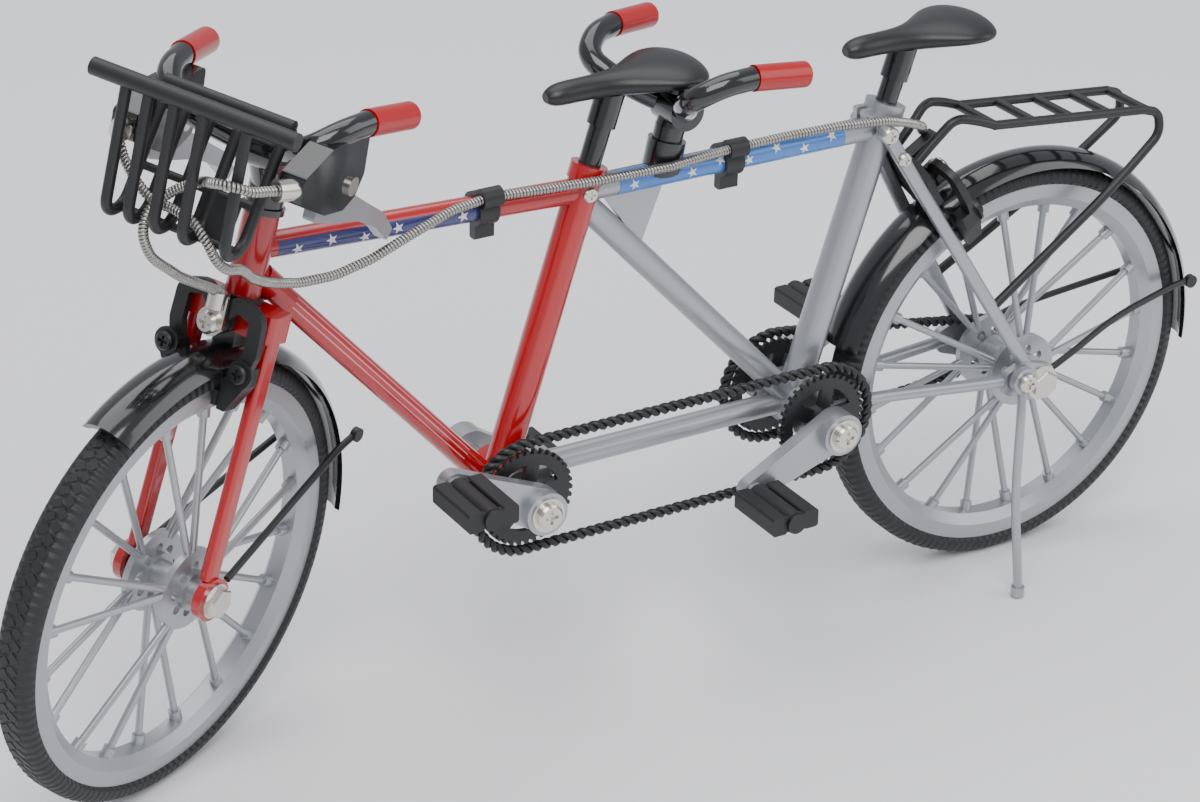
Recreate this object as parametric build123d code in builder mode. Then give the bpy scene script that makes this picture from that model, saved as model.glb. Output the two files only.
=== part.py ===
from build123d import *
import os
from math import cos, pi, radians, sin, tan

os.makedirs("parts", exist_ok=True)

# Tandem bicycle, a die-cast model at about one tenth of full size, in millimetres.
# X points forward, Y to the rider's left, Z up. The origin is on the ground, under
# the rear axle, in the middle plane of the frame.

# Overall layout
wheelbase = 148.8
wheel_radius = 34.0
head_angle = 74.2
fork_rake = 1.2
rear_crank_x = 41.3
crank_spacing = 52.8
bracket_height = 36.0
top_tube_height = 80.2
seat_tube_angle = 72.5
seat_tube_lead = 1.2
seat_tube_top = 84.0
steer_at_rest = 26.8
bar_turn = 6.8

# Frame tubes
head_tube_radius = 2.6
head_tube_start = 43.4
head_tube_length = 12.0
top_tube_radius = 1.9
top_tube_slope = 0.035
down_tube_radius = 1.85
diagonal_radius = 2.0
boom_radius = 1.8
boom_rise = 0.8
seat_tube_radius = 2.5
bracket_radius = 4.0
front_bracket_half = 3.9
rear_bracket_half = 5.0
yoke_thickness = 1.0
stay_width = 2.2
stay_thickness = 1.6
stay_top_y = 3.3
dropout_inner_y = 8.4
dropout_thickness = 1.4
chain_stay_radius = 1.0
chain_stay_y = 4.6

# Wheels
tread_half_width = 1.6
tyre_half_width = 3.1
rim_radius = 31.2
rim_half_width = 2.5
rim_channel_radius = 29.5
rim_channel_half = 1.8
rim_side_depth = 2.3
rim_inner_radius = 27.3
rim_inner_half = 1.3
spoke_radius = 0.55
spoke_pairs = 5
spoke_seat = 0.7
spoke_start = 5.0
spoke_inner_spread = 5.0
spoke_outer_spread = 9.0
front_spoke_angle = 20.0
rear_spoke_angle = 20.0
nipple_radius = 0.95
nipple_length = 1.5
hub_core_radius = 2.1
hub_flange_radius = 6.2
hub_flange_thickness = 1.0
hub_hole_radius = 0.8
hub_holes = 8
front_flange_y = 3.3
rear_flange_y = 4.3
axle_radius = 1.0
axle_clearance = 0.06
nut_size = 2.4
nut_thickness = 1.2
washer_radius = 2.9
washer_thickness = 0.4

# Fork
fork_dropout_inner_y = 6.5
fork_dropout_thickness = 1.4
fork_dropout_radius = 3.3
fork_leg_y = 6.3
fork_leg_width = 3.0
fork_leg_thickness = 1.9
crown_start = 38.4
crown_height = 4.0
crown_half_width = 7.6
crown_half_depth = 2.6
steerer_radius = 1.5
steerer_clearance = 0.08
cup_height = 0.9
cup_radius = 3.1

# Fenders
fender_inner_radius = 35.8
fender_thickness = 0.9
fender_half_width = 4.2
fender_lip = 2.2
front_fender_from = 64.0
front_fender_to = 186.0
rear_fender_from = 17.0
rear_fender_to = 184.0
wire_radius = 0.55

# Cranks, rings and chains
crank_length = 16.5
front_crank_phase = 28.0
rear_crank_phase = -24.0
crank_axle_radius = 1.2
crank_clearance = 0.06
crank_inner_y = 9.6
crank_thickness = 2.2
crank_boss_radius = 3.4
crank_boss_height = 1.5
crank_end_radius = 2.0
ring_y = 6.9
ring_thickness = 0.9
chain_height = 1.9
chain_width = 1.7
chain_gap = 0.15
timing_pitch_radius = 8.85
drive_pitch_radius = 9.15
sprocket_pitch_radius = 4.3
ring_rim_width = 1.7
ring_hub_radius = 2.6
ring_arms = 5
tooth_depth = 0.6
ring_teeth = 36
sprocket_teeth = 14
ring_arm_width = 2.2

# Pedals
pedal_inner_y = 12.4
pedal_length = 10.6
pedal_width = 8.2
pedal_thickness = 3.0
spindle_radius = 0.9
spindle_clearance = 0.06
pedal_cap_radius = 1.6
pedal_cap_thickness = 0.5

# Seats
post_radius = 1.7
post_clearance = 0.03
post_depth = 16.0
captain_post_rise = 8.6
stoker_post_rise = 6.4
saddle_length = 25.0
saddle_half_width = 7.4
saddle_height = 5.2
saddle_ahead = 10.2
post_travel = 8.0
collar_radius = 3.2
collar_height = 3.0

# Handlebars
bar_radius = 1.75
grip_radius = 1.95
grip_core_radius = 1.1
captain_bar_reach = 4.0
captain_bar_start = 65.0
captain_bar_pitch = 5.0
stem_radius = 2.3
stem_cap_radius = 2.2
stem_cap_height = 2.6
stem_gap = 0.1
clamp_half_width = 3.0
clamp_wall = 1.1
stoker_stem_x = 68.0
stoker_socket_radius = 2.9
stoker_socket_height = 5.2
stoker_bar_rise = 9.9
stoker_bar_turn = 12.0

# Brakes
brake_pivot = 39.8
arm_thickness = 1.2
arm_width = 2.2
arm_gap = 0.3
brake_standoff = 0.4
arm_clearance = 0.06
brake_bolt_radius = 0.8
pad_gap = 0.45
pad_height = 2.2
pad_length = 3.6
pad_thickness = 0.8
arm_boss_radius = 2.0

# Brake levers
lever_y = 13.0
lever_thickness = 1.8
housing_wall = 0.8
housing_gap = 0.15
lever_pin_radius = 0.6
lever_clearance = 0.05
adjuster_radius = 1.5
adjuster_length = 2.4

# Kickstand
stand_pivot_x = 4.6
stand_pivot_z = 35.8
stand_boss_radius = 2.3
stand_boss_thickness = 1.5
stand_leg_radius = 0.75
stand_foot = (7.0, 17.0)
stand_foot_radius = 1.1
stand_bolt_radius = 0.9
stand_clearance = 0.06
stand_face = 11.9

# Cables
cable_radius = 0.8
clip_wall = 0.7
clip_width = 3.2

# Rack and basket
rack_bar_radius = 0.75
rack_half_width = 4.8
rack_front_x = 9.5
rack_rear_x = -20.8
rack_pitch = 0.098
rack_bars = 5
mount_plate_thickness = 1.2
mount_plate_back = 1.63
basket_bar = 0.8
basket_rim_radius = 1.25
basket_rim_half = 15.6

# Places worked out from the layout
rear_hub = (0.0, 0.0, wheel_radius)
front_hub = (wheelbase, 0.0, wheel_radius)
front_crank_x = rear_crank_x + crank_spacing
head_cos = cos(radians(head_angle))
head_sin = sin(radians(head_angle))
steer_foot_x = wheelbase - fork_rake / head_sin
steer_axis = Axis((steer_foot_x, 0, wheel_radius), (-head_cos, 0, head_sin))
head_tube_end = head_tube_start + head_tube_length


def on_head(along, forward=0.0, side=0.0):
    # A point given by its distance along the steering axis, in front of it and to its left.
    return (
        steer_foot_x - head_cos * along + head_sin * forward,
        side,
        wheel_radius + head_sin * along + head_cos * forward,
    )


def head_plane(along):
    # Square to the steering axis, with its own X forward and Y to the left.
    return Plane(on_head(along), x_dir=(head_sin, 0, head_cos), z_dir=(-head_cos, 0, head_sin))


def seat_tube_point(crank_x, height):
    return (crank_x + seat_tube_lead - (height - bracket_height) / tan(radians(seat_tube_angle)), 0, height)


def axle_plane(hub):
    # Through the axle, with its own X along the axle and Y up.
    return Plane(hub, x_dir=(0, 1, 0), z_dir=(1, 0, 0))


def side_plane(y):
    # Upright and along the frame at the given Y, with its own X forward and Y up.
    return Plane((0, y, 0), x_dir=(1, 0, 0), z_dir=(0, -1, 0))


def arc_radii(points):
    # The largest tangent arc that each inner point has room for.
    spots = [Vector(*point) for point in points]
    radii = []
    for before, here, after in zip(spots, spots[1:], spots[2:]):
        turn = radians((here - before).get_angle(after - here))
        shorter = min((here - before).length, (after - here).length)
        radii.append(0.45 * shorter / tan(turn / 2))
    return radii


def rod(points, radius):
    # Round bar through the points, with a tangent arc at each inner point.
    with BuildPart() as bar:
        with BuildLine() as route:
            if len(points) == 2:
                Polyline(*points)
            else:
                FilletPolyline(*points, radius=arc_radii(points))
        with BuildSketch(Plane(route.line @ 0, z_dir=route.line % 0)):
            Circle(radius)
        sweep()
    return bar.part


def plate(outline, y_from, y_to, rounding=0.0):
    # Flat upright piece along the frame, between two Y places.
    with BuildPart() as sheet:
        with BuildSketch(side_plane(y_from)):
            with BuildLine():
                Polyline(*outline, close=True)
            make_face()
            if rounding > 0:
                fillet(vertices(), rounding)
        extrude(amount=y_from - y_to)
    return sheet.part


def flat_bar(start, end, width, thickness, across=(0, 1, 0)):
    # Rounded flat bar, thin in the across direction.
    run = Vector(*end) - Vector(*start)
    with BuildPart() as bar:
        with BuildSketch(Plane(start, x_dir=Vector(*across).cross(run), z_dir=run)):
            RectangleRounded(width, thickness, min(width, thickness) * 0.4)
        extrude(amount=run.length)
    return bar.part


def both_sides(part):
    # The piece and its mirror image across the middle plane of the frame.
    with BuildPart() as pair:
        add(part)
        mirror(about=Plane.XZ)
    return pair.part


def disc(centre, radius, thickness, toward=(0, 1, 0)):
    # Round plate that starts at the centre point and grows along the given direction.
    with BuildPart() as plate:
        with BuildSketch(Plane(centre, z_dir=toward)):
            Circle(radius)
        extrude(amount=thickness)
    return plate.part


def nut(centre, toward, washer=washer_radius, size=nut_size):
    # Hexagon nut on a round washer.
    direction = Vector(*toward).normalized()
    seat = Vector(*centre) + direction * washer_thickness
    with BuildPart() as fastener:
        add(disc(centre, washer, washer_thickness, toward))
        with BuildSketch(Plane(seat, z_dir=direction)):
            RegularPolygon(size, 6)
        extrude(amount=nut_thickness)
        chamfer(fastener.faces().sort_by(Axis(seat, direction))[-1].edges(), 0.2)
    return fastener.part


def screw(centre, toward, radius, height, shank=0.0, shank_radius=0.5):
    # Domed screw head with a cross recess, and its shank behind it.
    direction = Vector(*toward).normalized()
    face = Vector(*centre) + direction * height
    with BuildPart() as fastener:
        add(disc(centre, radius, height, toward))
        chamfer(fastener.faces().sort_by(Axis(centre, direction))[-1].edges(), height * 0.35)
        with BuildSketch(Plane(face, z_dir=direction)):
            Rectangle(radius * 1.1, radius * 0.28)
            Rectangle(radius * 0.28, radius * 1.1)
        extrude(amount=-height * 0.5, mode=Mode.SUBTRACT)
        if shank > 0:
            add(disc(centre, shank_radius, -shank, toward))
    return fastener.part


def keep(part, name):
    part.label = name
    export_step(part, "parts/" + name + ".step")


def steered(part, turn=steer_at_rest):
    # The fork's pieces are drawn straight ahead and then turned about the steering axis.
    return part.rotate(steer_axis, turn)


def along_seat_tube(crank_x, beyond):
    # A point on the seat tube's axis, this far past its top end.
    angle = radians(seat_tube_angle)
    top = seat_tube_point(crank_x, seat_tube_top)
    return (top[0] - cos(angle) * beyond, 0, top[2] + sin(angle) * beyond)


def shell_with_bore(crank_x, half):
    # Bottom bracket shell across the frame, with its bearing bore.
    with BuildPart() as shell:
        with BuildSketch(side_plane(-half)):
            with Locations((crank_x, bracket_height)):
                Circle(bracket_radius)
                Circle(crank_axle_radius + crank_clearance, mode=Mode.SUBTRACT)
        extrude(amount=-2 * half)
    return shell.part


def post_bore(crank_x):
    # The space that the seatpost slides in.
    deep = along_seat_tube(crank_x, -post_depth - post_travel)
    return rod([deep, along_seat_tube(crank_x, 1.0)], post_radius + post_clearance)


def top_tube_height_at(x):
    # The front top tube rises slightly toward the head tube.
    return top_tube_height + (x - front_seat_top[0]) * top_tube_slope


# ---------------------------------------------------------------- frame


front_seat_top = seat_tube_point(front_crank_x, top_tube_height)
rear_seat_top = seat_tube_point(rear_crank_x, top_tube_height)
head_joint = on_head(49.4)
top_joint = (head_joint[0], 0, top_tube_height_at(head_joint[0]))
down_joint = on_head(47.0)
down_foot = (front_crank_x + 2.1, 0, bracket_height)
stay_top = (29.3, stay_top_y, 80.2)
stay_foot = (2.0, dropout_inner_y + dropout_thickness / 2, 36.0)
stay_slope = Vector(stay_top[0] - stay_foot[0], 0, stay_top[2] - stay_foot[2]).normalized()
rear_brake_plane = Plane(rear_hub, x_dir=(0, -1, 0), z_dir=(-stay_slope.Z, 0, stay_slope.X))
rear_brake_face = mount_plate_back + brake_standoff
front_brake_face = crown_half_depth + brake_standoff
front_brake_plane = Plane((steer_foot_x, 0, wheel_radius), x_dir=(0, 1, 0), z_dir=(head_sin, 0, head_cos))


def frame_fasteners():
    # Rivets and screws of the frame, the kickstand's pivot bolt and the rear brake bolt.
    stay_face = stay_top_y + stay_thickness / 2
    stand_pivot = (stand_pivot_x, stand_face, stand_pivot_z)
    with BuildPart() as fasteners:
        for side in (1, -1):
            add(screw((stay_top[0], side * stay_face, stay_top[2]), (0, side, 0), 1.4, 0.7, stay_thickness + 0.6))
            lower = Vector(*stay_top) - stay_slope * 5.0
            add(screw((lower.X, side * (stay_face + 0.56), lower.Z), (0, side, 0), 1.1, 0.6, 1.0))
        add(screw((front_seat_top[0], 2.35, top_tube_height), (0, 1, 0), 1.15, 0.5, 0.5))
        add(screw((front_crank_x - 6.2, front_bracket_half + yoke_thickness, 36.8), (0, 1, 0), 1.0, 0.5, 0.8))
        add(screw(stand_pivot, (0, 1, 0), 1.6, 0.8, stand_face - dropout_inner_y - 0.2, stand_bolt_radius))
        add(brake_bolt(rear_brake_plane, mount_plate_back - mount_plate_thickness, rear_brake_face))
    return fasteners.part


def brake_bolt(place, root, face):
    # Pivot bolt of a brake, through both arms, with a spacer ring and a large cross screw in front.
    outward = place.z_dir
    arms_front = face + 2 * arm_thickness + 2 * arm_gap
    centre = place.from_local_coords(Vector(0, brake_pivot, 0))
    with BuildPart() as bolt:
        add(disc(centre + outward * root, brake_bolt_radius, arms_front - root, outward))
        add(disc(centre + outward * arms_front, 2.1, 0.5, outward))
        add(screw(centre + outward * (arms_front + 0.5), outward, 1.7, 1.1))
    return bolt.part


with BuildPart() as frame_screws:
    add(frame_fasteners())

with BuildPart() as rear_axle:
    axle_end = dropout_inner_y + dropout_thickness + washer_thickness + nut_thickness
    add(disc((0, -axle_end, wheel_radius), axle_radius, 2 * axle_end))
    for side in (1, -1):
        outer = side * (dropout_inner_y + dropout_thickness)
        add(nut((0, outer, wheel_radius), (0, side, 0)))

with BuildPart() as headset_cups:
    for bottom in (head_tube_start - cup_height, head_tube_end):
        with BuildSketch(head_plane(bottom)):
            Circle(cup_radius)
            Circle(steerer_radius + steerer_clearance, mode=Mode.SUBTRACT)
        extrude(amount=cup_height)


with BuildPart() as front_frame:
    with BuildSketch(head_plane(head_tube_start)):
        Circle(head_tube_radius)
    extrude(amount=head_tube_length)
    add(rod([top_joint, front_seat_top], top_tube_radius))
    add(rod([down_joint, down_foot], down_tube_radius))
    lug_run = Vector(*down_foot) - Vector(*down_joint)
    lug_start = Vector(*down_joint) + lug_run.normalized() * 2.4
    add(disc(lug_start, down_tube_radius + 0.35, 2.6, lug_run))
    add(rod([seat_tube_point(front_crank_x, bracket_height), along_seat_tube(front_crank_x, 0)], seat_tube_radius))
    add(rod([along_seat_tube(front_crank_x, -2.4), along_seat_tube(front_crank_x, 0)], seat_tube_radius + 0.3))
    add(shell_with_bore(front_crank_x, front_bracket_half))
    add(disc((front_crank_x, -front_bracket_half, bracket_height), crank_axle_radius + crank_clearance,
             2 * front_bracket_half), mode=Mode.SUBTRACT)
    add(post_bore(front_crank_x), mode=Mode.SUBTRACT)
    with BuildSketch(head_plane(head_tube_start)):
        Circle(steerer_radius + steerer_clearance)
    extrude(amount=head_tube_length, mode=Mode.SUBTRACT)
    add(headset_cups.part, mode=Mode.SUBTRACT)
    add(frame_screws.part, mode=Mode.SUBTRACT)

def chain_stay():
    # Round stay from the rear bracket shell, bowed outward to the dropout.
    end = (stay_foot[0] + 2.6, stay_foot[1] - 0.2, 35.0)
    bend = (rear_crank_x - 11.3, chain_stay_y, bracket_height)
    return rod([(rear_crank_x - 2.0, chain_stay_y, bracket_height), bend, end], chain_stay_radius)


def dropout(margin=0.0):
    # Plate that holds the axle and the kickstand's pivot, thicker by the margin on each face.
    with BuildPart() as tip:
        with BuildSketch(side_plane(dropout_inner_y - margin)):
            with BuildLine():
                Polyline((stand_pivot_x + 2.6, stand_pivot_z + 1.0), (stay_foot[0] + 1.4, stay_foot[1] + 29.2),
                         (-2.2, 36.6), (-2.6, 32.0), (1.0, 31.0), (stand_pivot_x + 2.6, stand_pivot_z - 2.6),
                         close=True)
            make_face()
            fillet(vertices(), 1.2)
        extrude(amount=-dropout_thickness - 2 * margin)
    return tip.part


def boom_yoke():
    # Cheek that straddles one end of the front bracket shell and joins the boom behind it.
    back = front_crank_x - bracket_radius - 4.6
    with BuildPart() as cheek:
        with BuildSketch(side_plane(front_bracket_half)):
            with BuildLine():
                Polyline((back, 38.4), (front_crank_x, bracket_height + 3.2), (front_crank_x, bracket_height - 3.2),
                         (back, 35.0), close=True)
            make_face()
            with Locations((front_crank_x, bracket_height)):
                Circle(3.2)
                Circle(crank_axle_radius + crank_clearance, mode=Mode.SUBTRACT)
        extrude(amount=-yoke_thickness)
    return cheek.part


with BuildPart() as seat_stays:
    for side in (1, -1):
        top = (stay_top[0], side * stay_top[1], stay_top[2])
        foot = (stay_foot[0], side * stay_foot[1], stay_foot[2])
        add(flat_bar(foot, top, stay_width, stay_thickness))
        add(disc((top[0], side * (stay_top_y - stay_thickness / 2), top[2]), stay_width * 0.65, stay_thickness,
                 (0, side, 0)))
    add(both_sides(dropout(1.0)), mode=Mode.SUBTRACT)
    add(rod([seat_tube_point(rear_crank_x, bracket_height), along_seat_tube(rear_crank_x, 0)], seat_tube_radius),
        mode=Mode.SUBTRACT)
    add(frame_screws.part, mode=Mode.SUBTRACT)

with BuildPart() as rear_frame:
    boom_end = front_crank_x - bracket_radius - 1.2
    add(rod([(front_seat_top[0] + 0.5, 0, top_tube_height), rear_seat_top], top_tube_radius))
    add(rod([(front_seat_top[0] + 0.9, 0, top_tube_height - 1.0), (rear_crank_x, 0, bracket_height)], diagonal_radius))
    add(plate([(78.5, 79.6), (67.5, 79.6), (71.5, 69.5)], -0.7, 0.7))
    add(rod([seat_tube_point(rear_crank_x, bracket_height), along_seat_tube(rear_crank_x, 0)], seat_tube_radius))
    add(rod([(rear_crank_x, 0, bracket_height + boom_rise), (boom_end, 0, bracket_height + boom_rise)], boom_radius))
    add(plate([(boom_end - 3.4, 38.4), (boom_end, 38.4), (boom_end, 35.0), (boom_end - 3.4, 35.0)],
              -front_bracket_half - yoke_thickness, front_bracket_half + yoke_thickness, 0.6))
    add(both_sides(boom_yoke()))
    add(shell_with_bore(rear_crank_x, rear_bracket_half))
    add(both_sides(chain_stay()))
    add(both_sides(dropout()))
    add(disc((rear_crank_x, -rear_bracket_half, bracket_height), crank_axle_radius + crank_clearance,
             2 * rear_bracket_half), mode=Mode.SUBTRACT)
    add(post_bore(rear_crank_x), mode=Mode.SUBTRACT)
    add(rod([seat_tube_point(front_crank_x, bracket_height), along_seat_tube(front_crank_x, 0)], seat_tube_radius),
        mode=Mode.SUBTRACT)
    add(disc((front_crank_x, -front_bracket_half, bracket_height), bracket_radius, 2 * front_bracket_half),
        mode=Mode.SUBTRACT)
    add(front_frame.part, mode=Mode.SUBTRACT)
    add(rear_axle.part, mode=Mode.SUBTRACT)
    add(frame_screws.part, mode=Mode.SUBTRACT)

with BuildPart() as seat_collar:
    collar_foot = along_seat_tube(rear_crank_x, -collar_height)
    seat_run = Vector(*along_seat_tube(rear_crank_x, 0)) - Vector(*collar_foot)
    add(disc(collar_foot, collar_radius, collar_height, seat_run))
    ear_centre = Vector(*along_seat_tube(rear_crank_x, -collar_height / 2))
    for side in (1, -1):
        add(plate([(ear_centre.X + 2.6, ear_centre.Z - 1.0), (ear_centre.X + 4.6, ear_centre.Z - 1.0),
                   (ear_centre.X + 4.6, ear_centre.Z + 1.2), (ear_centre.X + 2.0, ear_centre.Z + 1.2)],
                  side * 1.0 - 0.5, side * 1.0 + 0.5, 0.2))
    add(disc((ear_centre.X + 3.6, -2.0, ear_centre.Z), 0.5, 4.0))
    add(disc(Vector(*collar_foot) - seat_run, seat_tube_radius, collar_height * 3, seat_run), mode=Mode.SUBTRACT)
    add(rear_frame.part, mode=Mode.SUBTRACT)
    add(seat_stays.part, mode=Mode.SUBTRACT)
    add(frame_screws.part, mode=Mode.SUBTRACT)


# ---------------------------------------------------------------- wheels


def spoke_set(hub, flange_y, first_angle):
    # Pairs of spokes from each flange; the two of a pair part on their way to the rim.
    with BuildPart() as spokes:
        for side in (1, -1):
            for pair in range(spoke_pairs):
                middle = first_angle + pair * 360 / spoke_pairs + (side < 0) * 180 / spoke_pairs
                for lean in (1, -1):
                    inner = radians(middle + lean * spoke_inner_spread)
                    outer = radians(middle + lean * spoke_outer_spread)
                    start = Vector(hub[0] + cos(inner) * spoke_start, side * flange_y,
                                   hub[2] + sin(inner) * spoke_start)
                    seat = rim_inner_radius + spoke_seat
                    end = Vector(hub[0] + cos(outer) * seat, side * 0.3, hub[2] + sin(outer) * seat)
                    run = (end - start).normalized()
                    add(disc(start, spoke_radius, (end - start).length, run))
                    add(disc(end - run * (nipple_length + spoke_seat), nipple_radius, nipple_length + 0.3, run))
    return spokes.part


def rim(hub, spokes):
    # Rim with an outer channel for the tyre and flat sides for the brake pads.
    with BuildPart() as hoop:
        with BuildSketch(axle_plane(hub)):
            with BuildLine():
                Polyline((0, rim_channel_radius), (rim_channel_half, rim_channel_radius),
                         (rim_channel_half, rim_radius), (rim_half_width, rim_radius),
                         (rim_half_width, rim_radius - rim_side_depth), (rim_inner_half, rim_inner_radius),
                         (0, rim_inner_radius))
                mirror(about=Plane.YZ)
            make_face()
        revolve(axis=Axis(hub, (0, 1, 0)))
        add(spokes, mode=Mode.SUBTRACT)
    return hoop.part


def tyre(hub):
    # Tyre with a narrow flat tread band, and a foot that fills the rim's channel.
    with BuildPart() as rubber:
        with BuildSketch(axle_plane(hub)):
            with BuildLine():
                Polyline((0, rim_channel_radius), (rim_channel_half, rim_channel_radius),
                         (rim_channel_half, rim_radius), (rim_half_width, rim_radius),
                         (tyre_half_width, rim_radius + 0.5))
                TangentArc((tyre_half_width, rim_radius + 0.5), (tread_half_width, wheel_radius), tangent=(0.1, 1))
                Polyline((tread_half_width, wheel_radius), (0, wheel_radius))
                mirror(about=Plane.YZ)
            make_face()
        revolve(axis=Axis(hub, (0, 1, 0)))
    return rubber.part


def hub_shell(hub, flange_y, half_length, spokes):
    # Hub barrel with two drilled flanges and a running bore for the axle.
    with BuildPart() as shell:
        add(disc((hub[0], -half_length, hub[2]), hub_core_radius, 2 * half_length))
        for side in (1, -1):
            with BuildSketch(side_plane(side * flange_y - hub_flange_thickness / 2)):
                with Locations((hub[0], hub[2])):
                    Circle(hub_flange_radius)
                    with PolarLocations(hub_flange_radius * 0.58, hub_holes, start_angle=90 / hub_holes):
                        Circle(hub_hole_radius, mode=Mode.SUBTRACT)
            extrude(amount=-hub_flange_thickness)
            add(disc((hub[0], side * flange_y - 1.3 * side, hub[2]), hub_core_radius + 0.9, 2.6 * side))
        add(disc((hub[0], -half_length, hub[2]), axle_radius + axle_clearance, 2 * half_length), mode=Mode.SUBTRACT)
        add(spokes, mode=Mode.SUBTRACT)
    return shell.part


with BuildPart() as front_spokes:
    add(spoke_set(front_hub, front_flange_y, front_spoke_angle))

with BuildPart() as front_rim:
    add(rim(front_hub, front_spokes.part))

with BuildPart() as front_tyre:
    add(tyre(front_hub))

with BuildPart() as front_hub_shell:
    add(hub_shell(front_hub, front_flange_y, fork_dropout_inner_y - 0.2, front_spokes.part))

with BuildPart() as rear_spokes:
    add(spoke_set(rear_hub, rear_flange_y, rear_spoke_angle))

with BuildPart() as rear_rim:
    add(rim(rear_hub, rear_spokes.part))

with BuildPart() as rear_tyre:
    add(tyre(rear_hub))

with BuildPart() as rear_hub_shell:
    add(hub_shell(rear_hub, rear_flange_y, dropout_inner_y - 0.2, rear_spokes.part))


# ---------------------------------------------------------------- cranks, rings and chains


def sprocket_blank(centre_x, centre_z, y, pitch_radius, teeth):
    # Toothed disc whose tips stay inside the chain.
    tip = pitch_radius - chain_height / 2 - chain_gap
    root = tip - tooth_depth
    with BuildPart() as blank:
        with BuildSketch(side_plane(y - ring_thickness / 2)):
            with Locations((centre_x, centre_z)):
                Circle(root)
                with PolarLocations(root + tooth_depth / 2 - 0.15, teeth):
                    RectangleRounded(tooth_depth + 0.3, pi * root / teeth, 0.12)
        extrude(amount=-ring_thickness)
    return blank.part


def chain_ring(crank_x, y, pitch_radius, teeth):
    # Chain ring with open arms, and a boss that reaches out to the crank.
    side = 1 if y > 0 else -1
    rim_inside = pitch_radius - chain_height / 2 - chain_gap - tooth_depth - ring_rim_width
    with BuildPart() as ring:
        add(sprocket_blank(crank_x, bracket_height, y, pitch_radius, teeth))
        with BuildSketch(side_plane(y - ring_thickness / 2)):
            with Locations((crank_x, bracket_height)):
                Circle(rim_inside)
                Circle(ring_hub_radius, mode=Mode.SUBTRACT)
                with PolarLocations((ring_hub_radius + rim_inside) / 2, ring_arms, start_angle=front_crank_phase):
                    Rectangle(rim_inside, ring_arm_width, mode=Mode.SUBTRACT)
        extrude(amount=-ring_thickness, mode=Mode.SUBTRACT)
        add(disc((crank_x, y - side * ring_thickness / 2, bracket_height), ring_hub_radius,
                 side * (crank_inner_y - abs(y) + ring_thickness / 2)))
        add(disc((crank_x, -12, bracket_height), crank_axle_radius, 24), mode=Mode.SUBTRACT)
    return ring.part


def crank_arm(crank_x, side, phase):
    # One crank: boss, tapering arm and pedal spindle.
    angle = radians(phase)
    end = (crank_x + cos(angle) * crank_length, bracket_height + sin(angle) * crank_length)
    with BuildPart() as arm:
        with BuildSketch(side_plane(side * crank_inner_y)):
            with Locations((crank_x, bracket_height)):
                Circle(crank_boss_radius)
            with Locations(end):
                Circle(crank_end_radius)
            make_hull()
        extrude(amount=-side * crank_thickness)
        add(disc((crank_x, side * (crank_inner_y + crank_thickness), bracket_height), crank_boss_radius,
                 side * crank_boss_height))
        tip_face = side * (crank_inner_y + crank_thickness)
        spindle_end = pedal_inner_y + pedal_length - 0.2
        add(disc((end[0], tip_face, end[1]), spindle_radius, side * (spindle_end - abs(tip_face))))
        add(disc((end[0], tip_face, end[1]), crank_end_radius * 0.75, side * 0.4))
        add(disc((crank_x, -16, bracket_height), crank_axle_radius, 32), mode=Mode.SUBTRACT)
    return arm.part


def crank_axle(crank_x):
    # Axle through the bracket shell, closed at both ends by a washer and a large cross screw.
    end = crank_inner_y + crank_thickness + crank_boss_height
    with BuildPart() as axle:
        add(disc((crank_x, -end, bracket_height), crank_axle_radius, 2 * end))
        for side in (1, -1):
            add(disc((crank_x, side * end, bracket_height), 2.7, side * 0.35))
            add(screw((crank_x, side * (end + 0.35), bracket_height), (0, side, 0), 2.0, 0.9))
    return axle.part


def pedal(crank_x, side, phase):
    # Block pedal on its spindle: centre barrel, two ribbed blocks, two end plates and a round cap.
    angle = radians(phase)
    x = crank_x + cos(angle) * crank_length
    z = bracket_height + sin(angle) * crank_length
    inner = side * pedal_inner_y
    outer = side * (pedal_inner_y + pedal_length)
    with BuildPart() as block:
        with BuildSketch(side_plane(inner)):
            with Locations((x, z)):
                Circle(1.7)
            with Locations((x - pedal_width / 2 + 1.3, z), (x + pedal_width / 2 - 1.3, z)):
                RectangleRounded(2.6, pedal_thickness, 0.5)
        extrude(amount=-side * pedal_length)
        for face in (inner, outer - side * 1.0):
            with BuildSketch(side_plane(face)):
                with Locations((x, z)):
                    RectangleRounded(pedal_width - 0.4, pedal_thickness - 0.6, 0.5)
            extrude(amount=-side * 1.0)
        add(disc((x, inner, z), spindle_radius + spindle_clearance, side * (pedal_length - 0.1)), mode=Mode.SUBTRACT)
        add(disc((x, outer, z), pedal_cap_radius, side * pedal_cap_thickness))
    return block.part


def chain_loop(y, centre_a, radius_a, centre_b, radius_b):
    # Closed chain around two toothed discs.
    grow = chain_height / 2
    with BuildPart() as loop:
        with BuildSketch(side_plane(y - chain_width / 2)):
            with Locations(centre_a):
                Circle(radius_a + grow)
            with Locations(centre_b):
                Circle(radius_b + grow)
            make_hull()
        extrude(amount=-chain_width)
        with BuildSketch(side_plane(y - chain_width / 2)):
            with Locations(centre_a):
                Circle(radius_a - grow)
            with Locations(centre_b):
                Circle(radius_b - grow)
            make_hull()
        extrude(amount=-chain_width, mode=Mode.SUBTRACT)
    return loop.part


front_crank_centre = (front_crank_x, bracket_height)
rear_crank_centre = (rear_crank_x, bracket_height)

with BuildPart() as timing_chain:
    add(chain_loop(ring_y, front_crank_centre, timing_pitch_radius, rear_crank_centre, timing_pitch_radius))

with BuildPart() as drive_chain:
    add(chain_loop(-ring_y, rear_crank_centre, drive_pitch_radius, (0, wheel_radius), sprocket_pitch_radius))

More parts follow.
